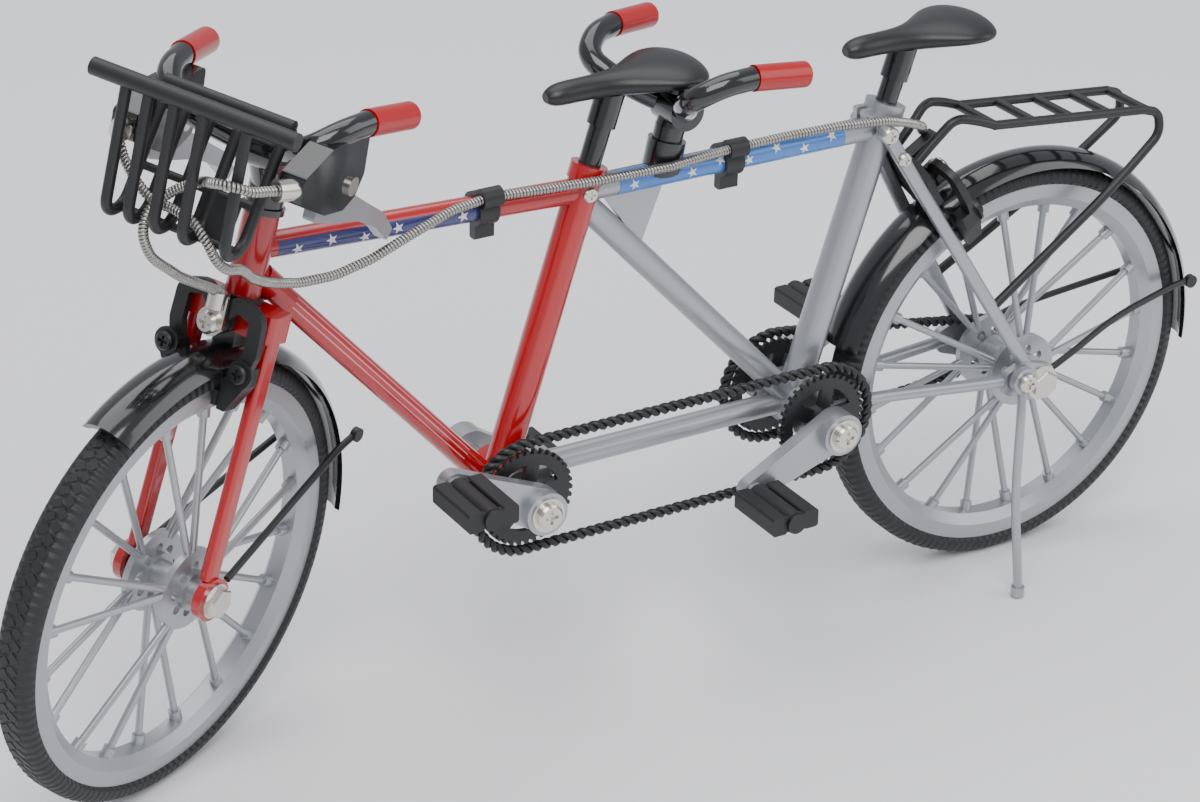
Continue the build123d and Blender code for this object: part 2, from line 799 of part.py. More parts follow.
with BuildPart() as rear_sprocket:
    add(sprocket_blank(0, wheel_radius, -ring_y, sprocket_pitch_radius, sprocket_teeth))
    add(disc((0, -ring_y - 1, wheel_radius), hub_core_radius, 2), mode=Mode.SUBTRACT)

with BuildPart() as front_timing_ring:
    add(chain_ring(front_crank_x, ring_y, timing_pitch_radius, ring_teeth))

with BuildPart() as rear_timing_ring:
    add(chain_ring(rear_crank_x, ring_y, timing_pitch_radius, ring_teeth))

with BuildPart() as drive_ring:
    add(chain_ring(rear_crank_x, -ring_y, drive_pitch_radius, ring_teeth))

with BuildPart() as front_crank_axle:
    add(crank_axle(front_crank_x))

with BuildPart() as rear_crank_axle:
    add(crank_axle(rear_crank_x))

with BuildPart() as front_cranks:
    add(crank_arm(front_crank_x, 1, front_crank_phase))
    add(crank_arm(front_crank_x, -1, front_crank_phase + 180))

with BuildPart() as rear_cranks:
    add(crank_arm(rear_crank_x, 1, rear_crank_phase))
    add(crank_arm(rear_crank_x, -1, rear_crank_phase + 180))

with BuildPart() as front_pedal_left:
    add(pedal(front_crank_x, 1, front_crank_phase))

with BuildPart() as front_pedal_right:
    add(pedal(front_crank_x, -1, front_crank_phase + 180))

with BuildPart() as rear_pedal_left:
    add(pedal(rear_crank_x, 1, rear_crank_phase))

with BuildPart() as rear_pedal_right:
    add(pedal(rear_crank_x, -1, rear_crank_phase + 180))


# ---------------------------------------------------------------- fenders, rack, stand and seats


def fender(hub, from_angle, to_angle):
    # Crowned fender around the tyre, between two angles measured upward from straight ahead.
    lip = fender_inner_radius + fender_thickness - fender_lip
    start = Plane(hub, x_dir=(0, -1, 0), z_dir=(-sin(radians(from_angle)), 0, cos(radians(from_angle))))
    with BuildPart() as guard:
        with BuildSketch(start):
            with BuildLine():
                outer = ThreePointArc((-fender_half_width, lip), (0, fender_inner_radius + fender_thickness),
                                      (fender_half_width, lip))
                inner = ThreePointArc((-fender_half_width + fender_thickness, lip), (0, fender_inner_radius),
                                      (fender_half_width - fender_thickness, lip))
                Line(outer @ 0, inner @ 0)
                Line(outer @ 1, inner @ 1)
            make_face()
        revolve(axis=Axis(hub, (0, -1, 0)), revolution_arc=to_angle - from_angle)
    return guard.part


with BuildPart() as rear_fender:
    add(fender(rear_hub, rear_fender_from, rear_fender_to))

with BuildPart() as rear_fender_stays:
    for side in (1, -1):
        add(rod([(-34.4, side * 4.4, 42.4), (-30.5, side * 4.7, 42.3), (-17.0, side * 6.4, 40.2),
                 (-7.0, side * 9.0, 37.6), (-1.6, side * 9.1, 35.2)], wire_radius))
        add(disc((-34.4, side * 4.2, 42.4), 1.1, side * 1.0))
    add(rear_fender.part, mode=Mode.SUBTRACT)
    add(rear_frame.part, mode=Mode.SUBTRACT)

with BuildPart() as rear_rack:
    plate_face = mount_plate_back - mount_plate_thickness
    with BuildSketch(rear_brake_plane.offset(plate_face)):
        with BuildLine():
            Polyline((-5.2, 38.5), (-5.2, 43.5), (-3.8, 47.0), (3.8, 47.0), (5.2, 43.5), (5.2, 38.5), (2.6, 36.2),
                     (-2.6, 36.2), close=True)
        make_face()
        with Locations((0, brake_pivot)):
            Circle(brake_bolt_radius, mode=Mode.SUBTRACT)
    extrude(amount=mount_plate_thickness)
    rail_front = 77.5 + rack_front_x * rack_pitch
    rail_rear = 77.5 + rack_rear_x * rack_pitch
    for side in (1, -1):
        rail_y = side * rack_half_width
        add(rod([(23.2, side * 3.0, 74.0), (20.2, side * 3.2, 77.0), (16.8, side * 3.9, 80.6),
                 (13.2, side * 4.5, 79.8), (rack_front_x, rail_y, rail_front)], rack_bar_radius))
        add(rod([(rack_front_x + 0.4, rail_y, rail_front + 0.04), (rack_rear_x, rail_y, rail_rear)], rack_bar_radius))
        add(rod([(rack_rear_x + 0.4, rail_y, rail_rear), (rack_rear_x - 2.6, rail_y * 1.01, rail_rear - 0.9),
                 (rack_rear_x - 3.2, rail_y * 1.04, rail_rear - 4.6), (rack_rear_x + 6.4, side * 5.8, 63.4),
                 (9.0, side * 7.5, 48.6)], rack_bar_radius))
    for bar in range(rack_bars):
        x = rack_front_x + 0.2 + (rack_rear_x - rack_front_x) * bar / (rack_bars - 1)
        add(disc((x, -rack_half_width, 77.5 + x * rack_pitch), rack_bar_radius, 2 * rack_half_width))
    add(seat_stays.part, mode=Mode.SUBTRACT)
    add(rear_fender.part, mode=Mode.SUBTRACT)
    add(frame_screws.part, mode=Mode.SUBTRACT)

with BuildPart() as kickstand:
    boss_inner = dropout_inner_y + dropout_thickness + washer_thickness + 0.1
    add(disc((stand_pivot_x, boss_inner, stand_pivot_z), stand_boss_radius, stand_boss_thickness))
    add(rod([(stand_pivot_x + 0.3, boss_inner + 0.9, stand_pivot_z - 1.4), (5.6, 12.3, 30.6), (6.4, 13.6, 16.0),
             (6.6, 15.9, 5.0), (stand_foot[0], stand_foot[1], 1.0)], stand_leg_radius))
    with BuildSketch(Plane.XY):
        with Locations(stand_foot):
            Circle(stand_foot_radius)
    extrude(amount=1.6)
    chamfer(kickstand.faces().sort_by(Axis.Z)[-1].edges().filter_by(GeomType.CIRCLE).sort_by(Edge.length)[-1:], 0.1)
    add(disc((stand_pivot_x, boss_inner - 1, stand_pivot_z), stand_bolt_radius + stand_clearance, 4),
        mode=Mode.SUBTRACT)
    add(disc((stand_pivot_x, stand_face - 0.1, stand_pivot_z), 1.75, 2), mode=Mode.SUBTRACT)


def saddle(crank_x, post_rise):
    # Saddle as a smooth solid through elliptical sections, from its nose back to its tail.
    post_top = along_seat_tube(crank_x, post_rise)
    nose = post_top[0] + saddle_ahead
    middle = post_top[2] + saddle_height * 0.72
    sections = (
        (0.0, 0.9, 0.7, -0.4), (1.2, 1.7, 1.4, -0.3), (7.0, 2.1, 1.7, -0.1), (12.5, 3.4, 1.9, 0.0),
        (18.0, 6.7, 2.0, 0.4), (21.5, 7.4, 1.9, 0.5), (24.2, 5.6, 1.5, 0.4), (25.0, 3.4, 1.0, 0.3),
    )
    with BuildPart() as seat:
        for back, half_width, half_height, lift in sections:
            place = Plane((nose - back * saddle_length / 25.0, 0, middle + lift), x_dir=(0, 1, 0), z_dir=(1, 0, 0))
            with BuildSketch(place):
                Ellipse(half_width * saddle_half_width / 7.4, half_height)
        loft()
    return seat.part


def seatpost(crank_x, post_rise, seat):
    # Post in the seat tube, with a wider neck that carries the saddle.
    foot = along_seat_tube(crank_x, -post_depth)
    neck = along_seat_tube(crank_x, post_rise - 2.6)
    top = along_seat_tube(crank_x, post_rise + 4.0)
    with BuildPart() as post:
        add(rod([foot, top], post_radius))
        add(rod([neck, top], post_radius + 0.5))
        add(seat, mode=Mode.SUBTRACT)
        split(bisect_by=Plane((top[0], 0, top[2] - 1.4)), keep=Keep.BOTTOM)
    return post.part.solids().sort_by(SortBy.VOLUME)[-1]


with BuildPart() as captain_saddle:
    add(saddle(front_crank_x, captain_post_rise))

with BuildPart() as stoker_saddle:
    add(saddle(rear_crank_x, stoker_post_rise))

with BuildPart() as captain_seatpost:
    add(seatpost(front_crank_x, captain_post_rise, captain_saddle.part))

with BuildPart() as stoker_seatpost:
    add(seatpost(rear_crank_x, stoker_post_rise, stoker_saddle.part))


# ---------------------------------------------------------------- fork and front fender


def fork_leg(side):
    # Flat leg from the crown down to the round dropout.
    top = on_head(crown_start + 2.0, 0, side * fork_leg_y)
    foot = (front_hub[0] - 0.3, side * (fork_leg_y + 0.3), front_hub[2] + 2.9)
    with BuildPart() as leg:
        add(flat_bar(foot, top, fork_leg_width, fork_leg_thickness))
        add(disc((front_hub[0], side * fork_dropout_inner_y, front_hub[2]), fork_dropout_radius,
                 side * fork_dropout_thickness))
    return leg.part


with BuildPart() as front_fender_straight:
    with BuildSketch(head_plane(fender_inner_radius - 1.0)):
        Rectangle(4.4, 3.6)
    extrude(amount=crown_start - fender_inner_radius + 1.0)
    add(disc((front_hub[0], -4, front_hub[2]), fender_inner_radius + 0.3, 8), mode=Mode.SUBTRACT)
    add(fender(front_hub, front_fender_from, front_fender_to))

with BuildPart() as front_axle_straight:
    fork_outer = fork_dropout_inner_y + fork_dropout_thickness
    axle_end = fork_outer + washer_thickness + nut_thickness
    add(disc((front_hub[0], -axle_end, front_hub[2]), axle_radius, 2 * axle_end))
    for side in (1, -1):
        add(nut((front_hub[0], side * fork_outer, front_hub[2]), (0, side, 0), fork_dropout_radius * 0.8))

with BuildPart() as brake_bolt_straight:
    add(brake_bolt(front_brake_plane, crown_half_depth - 2.0, front_brake_face))

with BuildPart() as fork_straight:
    with BuildSketch(head_plane(crown_start)):
        RectangleRounded(2 * crown_half_depth, 2 * crown_half_width, 1.2)
    extrude(amount=crown_height)
    with BuildSketch(head_plane(crown_start)):
        Circle(steerer_radius)
    extrude(amount=captain_bar_start - crown_start - 3.5)
    add(fork_leg(1))
    add(fork_leg(-1))
    add(front_axle_straight.part, mode=Mode.SUBTRACT)
    add(brake_bolt_straight.part, mode=Mode.SUBTRACT)
    add(front_fender_straight.part, mode=Mode.SUBTRACT)

with BuildPart() as front_fender_stays_straight:
    for side in (1, -1):
        add(rod([(112.3, side * 4.5, 43.2), (116.5, side * 4.6, 42.6), (130.0, side * 5.8, 39.2),
                 (front_hub[0] - 3.7, side * 7.2, front_hub[2] + 1.3)], wire_radius))
        add(disc((112.3, side * 4.2, 43.2), 1.1, side * 1.0))
    add(front_fender_straight.part, mode=Mode.SUBTRACT)


# ---------------------------------------------------------------- handlebars


bar_path = ((2.0, 4.0, 1.2), (6.0, 7.6, 4.0), (7.6, 11.2, 6.4), (4.2, 13.6, 8.4), (-0.6, 14.6, 8.6))
grip_start = (-0.2, 14.55, 8.6)
grip_end = (-9.9, 16.3, 7.5)


def handlebar():
    # Bar about its own centre: straight through the clamp, then up, forward and back to the grips.
    half = [(0, 0, 0)] + [(0, 2.2, 0)] + list(bar_path)
    with BuildPart() as bar:
        for side in (1, -1):
            points = [(x, side * y, z) for x, y, z in half[1:]]
            add(disc((0, 0, 0), bar_radius, side * 2.2))
            add(rod(points, bar_radius))
            start = Vector(bar_path[-1][0], side * bar_path[-1][1], bar_path[-1][2])
            end = Vector(grip_end[0] + 0.6, side * (grip_end[1] - 0.1), grip_end[2])
            add(disc(start, grip_core_radius, (end - start).length, end - start))
    return bar.part


def grips(bar):
    # Moulded grips over the necked ends of the bar.
    with BuildPart() as pair:
        for side in (1, -1):
            start = Vector(bar_path[-1][0], side * bar_path[-1][1], bar_path[-1][2])
            end = Vector(grip_end[0], side * grip_end[1], grip_end[2])
            grip = disc(start, grip_radius, (end - start).length, end - start)
            with BuildPart(mode=Mode.PRIVATE) as rounded:
                add(grip)
                fillet(rounded.faces().sort_by(Axis.X)[0].edges(), 0.6)
            add(rounded.part)
        add(bar, mode=Mode.SUBTRACT)
    return pair.part


def bar_clamp(centre, below):
    # Clamp ring around the bar's middle, with a neck down to the stem.
    with BuildPart() as clamp:
        with BuildSketch(side_plane(-clamp_half_width)):
            with Locations((centre[0], centre[2])):
                Circle(bar_radius + clamp_wall)
        extrude(amount=-2 * clamp_half_width)
        add(rod([centre, below], stem_radius))
    return clamp.part


captain_bar_centre = on_head(captain_bar_start, captain_bar_reach)
captain_place = Location(captain_bar_centre, (0, -captain_bar_pitch, 0))
stoker_bar_centre = (stoker_stem_x - 2.6, 0, top_tube_height + stoker_bar_rise)
stoker_place = Location(stoker_bar_centre, (0, 0, stoker_bar_turn))

with BuildPart() as captain_handlebar_straight:
    add(handlebar().moved(captain_place))

with BuildPart() as captain_grips_straight:
    add(grips(handlebar()).moved(captain_place))

with BuildPart() as stoker_handlebar:
    add(handlebar().moved(stoker_place))

with BuildPart() as stoker_grips:
    add(grips(handlebar()).moved(stoker_place))

with BuildPart() as captain_stem_straight:
    stem_foot = head_tube_end + cup_height + stem_gap
    with BuildSketch(head_plane(stem_foot)):
        Circle(stem_radius + 0.4)
    extrude(amount=captain_bar_start - 4.0 - stem_foot)
    add(bar_clamp(captain_bar_centre, on_head(captain_bar_start - 5.2, 0.4)))
    with BuildSketch(head_plane(captain_bar_start - 4.0)):
        Circle(stem_cap_radius)
    extrude(amount=stem_cap_height)
    add(captain_handlebar_straight.part, mode=Mode.SUBTRACT)
    add(fork_straight.part, mode=Mode.SUBTRACT)

with BuildPart() as stoker_stem:
    socket_foot = (stoker_stem_x, 0, top_tube_height)
    socket_top = (stoker_stem_x - 1.1, 0, top_tube_height + stoker_socket_height)
    stem_top = (stoker_bar_centre[0] + 0.5, 0, stoker_bar_centre[2] - 0.5)
    stem_run = Vector(*stem_top) - Vector(*socket_top)
    add(bar_clamp(stoker_bar_centre, Vector(*socket_top) + stem_run * 0.3))
    add(disc(Vector(*socket_top), stem_radius, stem_run.length * 0.5, stem_run))
    add(disc(Vector(*stoker_bar_centre) + Vector(-0.2, 0, bar_radius + 0.6), stem_cap_radius, 1.0, (-0.2, 0, 1)))
    add(rod([socket_foot, socket_top], stoker_socket_radius))
    add(disc((stoker_stem_x - 0.7, 1.0, top_tube_height + 1.6), 1.1, stoker_socket_radius - 0.95))
    add(rod([(front_seat_top[0], 0, top_tube_height), rear_seat_top], top_tube_radius), mode=Mode.SUBTRACT)
    add(stoker_handlebar.part, mode=Mode.SUBTRACT)
    split(bisect_by=Plane((0, 0, top_tube_height + 0.3)), keep=Keep.TOP)


# ---------------------------------------------------------------- brake levers and their housings


lever_pivot = (135.8, 98.2)
adjuster_seat = (148.6, 102.5)
housing_outline = ((131.6, 105.2), (132.2, 98.6), (134.2, 95.9), (137.2, 95.0), (142.2, 96.4), (148.9, 100.7),
                   (148.3, 104.4), (141.5, 106.0))


def adjuster_run(side):
    # The adjusters point forward and a little inward.
    return Vector(0.9, -0.4 * side, 0.15).normalized()


def adjuster_end(side):
    return Vector(adjuster_seat[0], side * lever_y, adjuster_seat[1]) + adjuster_run(side) * adjuster_length


lever_outline = ((142.4, 98.4), (143.2, 95.4), (138.6, 93.2), (130.6, 90.0), (125.0, 86.4), (121.6, 82.8),
                 (120.2, 84.2), (123.6, 88.4), (128.8, 92.2), (133.0, 95.4), (133.6, 99.6), (137.2, 100.6))


def lever_housing(side):
    # Two cheeks joined at the top and front, hung from the bar, with a slot for the lever.
    half = lever_thickness / 2 + housing_gap
    with BuildPart() as cheeks:
        add(plate(housing_outline, side * lever_y - half - housing_wall, side * lever_y + half + housing_wall, 0.9))
        add(plate(((125, 80), (125, 101.6), (143.6, 101.6), (145.4, 98.0), (145.4, 80)), side * lever_y - half,
                  side * lever_y + half), mode=Mode.SUBTRACT)
        add(captain_handlebar_straight.part, mode=Mode.SUBTRACT)
        add(disc((lever_pivot[0], side * lever_y - 5, lever_pivot[1]), lever_pin_radius, 10), mode=Mode.SUBTRACT)
        add(captain_grips_straight.part, mode=Mode.SUBTRACT)
    return cheeks.part.solids().sort_by(SortBy.VOLUME)[-1]


def brake_lever(side):
    # Hooked lever blade that turns on the pin between the cheeks.
    half = lever_thickness / 2
    with BuildPart() as lever:
        add(plate(lever_outline, side * lever_y - half, side * lever_y + half, 0.5))
        add(disc((lever_pivot[0], side * lever_y - 5, lever_pivot[1]), lever_pin_radius + lever_clearance, 10),
            mode=Mode.SUBTRACT)
    return lever.part


with BuildPart() as steering_screws_straight:
    pin_half = lever_thickness / 2 + housing_gap + housing_wall
    for side in (1, -1):
        inner = side * (lever_y - pin_half)
        add(disc((lever_pivot[0], inner, lever_pivot[1]), lever_pin_radius, side * 2 * pin_half))
        add(disc((lever_pivot[0], side * (lever_y + pin_half), lever_pivot[1]), 1.35, side * 0.5))
        add(disc((lever_pivot[0], inner, lever_pivot[1]), 1.1, -side * 0.3))

with BuildPart() as lever_housings_straight:
    for side in (1, -1):
        add(lever_housing(side))

with BuildPart() as cable_adjusters_straight:
    for side in (1, -1):
        run = adjuster_run(side)
        add(disc(adjuster_end(side) - run * (adjuster_length + 0.8), adjuster_radius, adjuster_length + 0.8, run))
    add(lever_housings_straight.part, mode=Mode.SUBTRACT)

# ---------------------------------------------------------------- basket


basket_places = (-10.2, -6.7, -2.7, 1.7, 8.2)
basket_front = (152.6, 112.0)
basket_corner = (156.2, 93.6)
basket_heel = (151.6, 92.6)
basket_back = (142.2, 107.5)

with BuildPart() as basket_straight:
    for y in basket_places:
        add(rod([(x, y, z) for x, z in (basket_front, basket_corner, basket_heel, basket_back)], basket_bar))
    rim_bar = disc((basket_front[0], -basket_rim_half, basket_front[1]), basket_rim_radius, 2 * basket_rim_half)
    add(rim_bar)
    add(disc((basket_back[0], basket_places[0] - 0.7, basket_back[1]), basket_bar + 0.15, 20.0))
    add(disc((basket_heel[0] - 3.2, basket_places[0], basket_heel[1] + 5.1), 0.6,
             basket_places[-1] - basket_places[0]))
    add(disc((basket_heel[0] + 0.6, basket_places[0], basket_heel[1] + 0.1), 0.6,
             basket_places[-1] - basket_places[0]))
    panel_back = Vector(basket_back[0] - basket_heel[0], 0, basket_back[1] - basket_heel[1]).normalized()
    panel_foot = Vector(basket_heel[0], 3.0, basket_heel[1])
    add(flat_bar(panel_foot, panel_foot + panel_back * 6.0, 1.0, 6.0))
    for y in (-8.6, 8.6):
        add(rod([(basket_back[0], y, basket_back[1]), (basket_back[0] - 2.0, y, basket_back[1] - 4.6)],
                basket_bar - 0.1))
    add(captain_handlebar_straight.part, mode=Mode.SUBTRACT)


# ---------------------------------------------------------------- brakes


def brake_arm(place, face, hand, layer):
    # C-shaped arm round the fender with its shoe holder, rubber pad and shoe screw.
    arm_face = face + layer * (arm_thickness + arm_gap)
    holder_depth = 2 * arm_thickness + arm_gap
    shoe_inside = rim_half_width + pad_gap
    holder_inside = shoe_inside + pad_thickness
    shoe_low = rim_radius - rim_side_depth - 0.7
    with BuildPart() as arm:
        with BuildSketch(place.offset(arm_face)):
            with BuildLine():
                FilletPolyline((0, brake_pivot), (hand * 3.4, brake_pivot + 3.7), (hand * 6.9, brake_pivot + 2.6),
                               (hand * 7.1, brake_pivot - 2.4), (hand * 6.3, brake_pivot - 5.4), radius=1.4)
            trace(line_width=arm_width)
            with Locations((0, brake_pivot)):
                Circle(arm_boss_radius)
        extrude(amount=arm_thickness)
        with BuildSketch(place.offset(arm_face)):
            with Locations((0, brake_pivot)):
                Circle(brake_bolt_radius + arm_clearance)
        extrude(amount=arm_thickness, mode=Mode.SUBTRACT)
        with BuildSketch(place.offset(face)):
            with BuildLine():
                Polyline((hand * holder_inside, shoe_low), (hand * (holder_inside + 1.3), shoe_low),
                         (hand * 7.5, shoe_low + 4.4), (hand * 7.5, shoe_low + 7.0), (hand * 4.8, shoe_low + 7.0),
                         (hand * 4.8, shoe_low + 5.6), (hand * holder_inside, shoe_low + 4.6), close=True)
            make_face()
        extrude(amount=holder_depth)
    with BuildPart() as pad:
        with BuildSketch(place.offset(face + holder_depth / 2 - pad_length / 2)):
            with Locations((hand * (shoe_inside + pad_thickness / 2), shoe_low + 0.5 + pad_height / 2)):
                Rectangle(pad_thickness, pad_height)
        extrude(amount=pad_length)
    centre = place.from_local_coords(Vector(hand * 6.5, shoe_low + 6.2, face + holder_depth))
    with BuildPart() as fittings:
        add(disc(centre, 2.0, 0.4, place.z_dir))
        add(screw(centre + place.z_dir * 0.4, place.z_dir, 1.4, 0.8))
    return Compound(arm.part.solids() + pad.part.solids() + fittings.part.solids())


front_brakes = {
    "left": brake_arm(front_brake_plane, front_brake_face, 1, 1),
    "right": brake_arm(front_brake_plane, front_brake_face, -1, 0),
}
rear_brakes = {
    "left": brake_arm(rear_brake_plane, rear_brake_face, -1, 1),
    "right": brake_arm(rear_brake_plane, rear_brake_face, 1, 0),
}


# ---------------------------------------------------------------- cables and their clips


def turned_point(point, turn):
    # Where a point drawn straight ahead stands once it is turned about the steering axis.
    offset = Vector(*point) - steer_axis.position
    turned_offset = offset.rotate(Axis((0, 0, 0), steer_axis.direction), turn)
    return tuple(steer_axis.position + turned_offset)


front_stop_end = on_head(brake_pivot + 4.8, front_brake_face + 4.0, 0.8)

with BuildPart() as front_cable_stop:
    with BuildSketch(front_brake_plane.offset(front_brake_face + 2 * arm_thickness + 2 * arm_gap)):
        with Locations((0.5, brake_pivot + 1.6)):
            RectangleRounded(3.4, 5.4, 0.6)
    extrude(amount=0.5)
    stop_run = Vector(-head_cos, 0, head_sin)
    add(disc(Vector(*front_stop_end) - stop_run * 2.4, 1.3, 2.4, stop_run))
    add(brake_bolt_straight.part, mode=Mode.SUBTRACT)

front_cable_points = (
    (154.2, 10.7, 103.6), (156.7, 8.6, 104.9), (156.2, 5.6, 104.0), (153.6, 3.4, 102.2), (152.0, 0.9, 100.5),
    (152.2, -2.3, 98.3), (154.4, -4.75, 95.4), (155.3, -4.8, 92.0), (153.9, -4.1, 88.0), (148.4, -2.4, 83.0),
)
rear_cable_bar_points = (
    (152.7, -11.2, 103.1), (152.4, -10.0, 100.0), (151.6, -8.2, 96.5), (151.9, -5.4, 95.2), (152.3, -2.2, 95.5),
    (153.1, 1.7, 95.3), (154.0, 4.3, 93.8), (153.4, 5.6, 91.0), (151.9, 6.4, 89.2),
)
rear_cable_frame_points = (
    (142.4, 14.2, 86.2), (139.3, 11.0, 82.9), (135.6, 8.2, 80.3), (130.4, 6.6, 78.5), (124.4, 5.9, 78.1),
    (118.4, 5.3, 79.1), (111.0, 4.4, 81.3), (104.6, 3.2, 82.8), (98.0, 2.4, 83.2), (89.6, 3.2, 83.0),
    (81.0, 3.9, 82.9), (68.5, 4.1, 82.8), (62.4, 3.3, 82.9), (56.2, 2.3, 82.7), (47.4, 2.4, 82.9),
    (38.6, 3.5, 83.2), (30.4, 4.8, 83.1), (25.0, 4.2, 81.4), (21.4, 2.0, 79.4),
)
rear_stop_end = rear_brake_plane.from_local_coords(Vector(-0.8, 47.2, 6.2))

with BuildPart() as front_brake_cable_straight:
    start = adjuster_end(1)
    finish = turned_point(front_stop_end, -bar_turn)
    add(rod([tuple(start)] + list(front_cable_points) + [finish], cable_radius))

with BuildPart() as rear_brake_cable:
    turn = steer_at_rest + bar_turn
    start = turned_point(adjuster_end(-1), turn)
    early = [turned_point(point, turn) for point in rear_cable_bar_points]
    add(rod([start] + early + list(rear_cable_frame_points) + [tuple(rear_stop_end)], cable_radius))

with BuildPart() as cable_clips:
    for x, y, z, tube_z in ((98.0, 2.4, 83.2, top_tube_height_at(98.0)), (56.2, 2.3, 82.7, top_tube_height)):
        with BuildSketch(Plane((x - clip_width / 2, 0, 0), x_dir=(0, 1, 0), z_dir=(1, 0, 0))):
            with Locations((0, tube_z)):
                Circle(top_tube_radius + clip_wall)
            with Locations((y, z)):
                Circle(cable_radius + clip_wall)
            with Locations((0, tube_z - top_tube_radius - clip_wall - 0.8)):
                RectangleRounded(1.6, 2.4, 0.3)
        extrude(amount=clip_width)
    add(front_frame.part, mode=Mode.SUBTRACT)
    add(rear_frame.part, mode=Mode.SUBTRACT)
    with BuildSketch(rear_brake_plane.offset(mount_plate_back)):
        with Locations((-0.8, 46.2)):
            RectangleRounded(2.4, 2.0, 0.4)
    extrude(amount=5.6)
    add(rear_brake_cable.part, mode=Mode.SUBTRACT)


# ---------------------------------------------------------------- the steered pieces, turned as they stand


def bar_turned(part):
    return steered(part, steer_at_rest + bar_turn)


front_brake_cable = bar_turned(front_brake_cable_straight.part)

with BuildPart() as cable_adjusters:
    add(bar_turned(cable_adjusters_straight.part))
    add(steered(front_cable_stop.part))
    add(front_brake_cable, mode=Mode.SUBTRACT)
    add(rear_brake_cable.part, mode=Mode.SUBTRACT)

with BuildPart() as steering_screws:
    add(bar_turned(steering_screws_straight.part))
    add(steered(brake_bolt_straight.part))

pieces = {
    "front_frame": front_frame.part.solids().sort_by(SortBy.VOLUME)[-1],  # drops chips in the steerer bore
    "rear_frame": rear_frame.part,
    "seat_stays": seat_stays.part,
    "frame_screws": frame_screws.part,
    "headset_cups": headset_cups.part,
    "seat_collar": seat_collar.part,
    "stoker_stem": stoker_stem.part,
    "stoker_handlebar": stoker_handlebar.part,
    "stoker_grips": stoker_grips.part,
    "cable_clips": cable_clips.part,
    "rear_fender": rear_fender.part,
    "rear_fender_stays": rear_fender_stays.part,
    "rear_rack": rear_rack.part,
    "rear_axle": rear_axle.part,
    "timing_chain": timing_chain.part,
    "drive_chain": drive_chain.part,
    "rear_brake_cable": rear_brake_cable.part,
    "kickstand": kickstand.part,
    "captain_saddle": captain_saddle.part,
    "captain_seatpost": captain_seatpost.part,
    "stoker_saddle": stoker_saddle.part,
    "stoker_seatpost": stoker_seatpost.part,
    "rear_tyre": rear_tyre.part,
    "rear_rim": rear_rim.part,
    "rear_spokes": rear_spokes.part,
    "rear_hub": rear_hub_shell.part,
    "rear_sprocket": rear_sprocket.part,
    "front_crank_axle": front_crank_axle.part,
    "front_cranks": front_cranks.part,
    "front_timing_ring": front_timing_ring.part,
    "rear_crank_axle": rear_crank_axle.part,
    "rear_cranks": rear_cranks.part,
    "rear_timing_ring": rear_timing_ring.part,
    "drive_ring": drive_ring.part,
    "front_pedal_left": front_pedal_left.part,
    "front_pedal_right": front_pedal_right.part,
    "rear_pedal_left": rear_pedal_left.part,
    "rear_pedal_right": rear_pedal_right.part,
    "rear_brake_arm_left": rear_brakes["left"],
    "rear_brake_arm_right": rear_brakes["right"],
    "front_brake_arm_left": steered(front_brakes["left"]),
    "front_brake_arm_right": steered(front_brakes["right"]),
    "front_tyre": steered(front_tyre.part),
    "front_rim": steered(front_rim.part),
    "front_spokes": steered(front_spokes.part),
    "front_hub": steered(front_hub_shell.part),
    "fork": steered(fork_straight.part),
    "front_fender": steered(front_fender_straight.part),
    "front_fender_stays": steered(front_fender_stays_straight.part),
    "front_axle": steered(front_axle_straight.part),
    "captain_stem": bar_turned(captain_stem_straight.part),
    "captain_handlebar": bar_turned(captain_handlebar_straight.part),
    "captain_grips": bar_turned(captain_grips_straight.part),
    "lever_housings": bar_turned(lever_housings_straight.part),
    "cable_adjusters": cable_adjusters.part,
    "basket": bar_turned(basket_straight.part),
    "steering_screws": steering_screws.part,
    "front_brake_cable": front_brake_cable,
    "brake_lever_left": bar_turned(brake_lever(1)),
    "brake_lever_right": bar_turned(brake_lever(-1)),
}

for name, piece in pieces.items():
    keep(piece, name)
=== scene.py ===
import bpy
import math
from mathutils import Matrix, Vector


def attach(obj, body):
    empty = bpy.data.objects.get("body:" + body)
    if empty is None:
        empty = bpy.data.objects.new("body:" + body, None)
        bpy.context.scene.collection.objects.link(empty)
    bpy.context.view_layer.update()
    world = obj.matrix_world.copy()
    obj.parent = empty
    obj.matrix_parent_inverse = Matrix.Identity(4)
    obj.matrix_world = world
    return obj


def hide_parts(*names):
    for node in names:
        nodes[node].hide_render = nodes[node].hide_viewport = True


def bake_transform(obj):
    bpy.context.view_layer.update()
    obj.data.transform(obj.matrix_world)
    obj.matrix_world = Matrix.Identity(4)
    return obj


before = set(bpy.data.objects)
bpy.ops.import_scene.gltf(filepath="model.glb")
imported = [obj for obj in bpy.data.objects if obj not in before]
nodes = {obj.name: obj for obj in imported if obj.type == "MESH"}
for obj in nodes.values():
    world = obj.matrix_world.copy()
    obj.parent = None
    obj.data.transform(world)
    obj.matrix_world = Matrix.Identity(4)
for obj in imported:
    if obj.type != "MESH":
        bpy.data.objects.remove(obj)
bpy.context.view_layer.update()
mm = 0.001
print("frame loaded:", len(nodes), "nodes")


# ---- shared shader groups: each gives values that change over the surface
def shaderGroup(name, inputs, outputs):
    group = bpy.data.node_groups.new(name, "ShaderNodeTree")
    for label, value in inputs.items():
        socket = group.interface.new_socket(name=label, in_out="INPUT", socket_type="NodeSocketFloat")
        socket.default_value = value
    for label in outputs:
        group.interface.new_socket(name=label, in_out="OUTPUT", socket_type="NodeSocketFloat")
    return group, group.nodes.new("NodeGroupInput"), group.nodes.new("NodeGroupOutput")


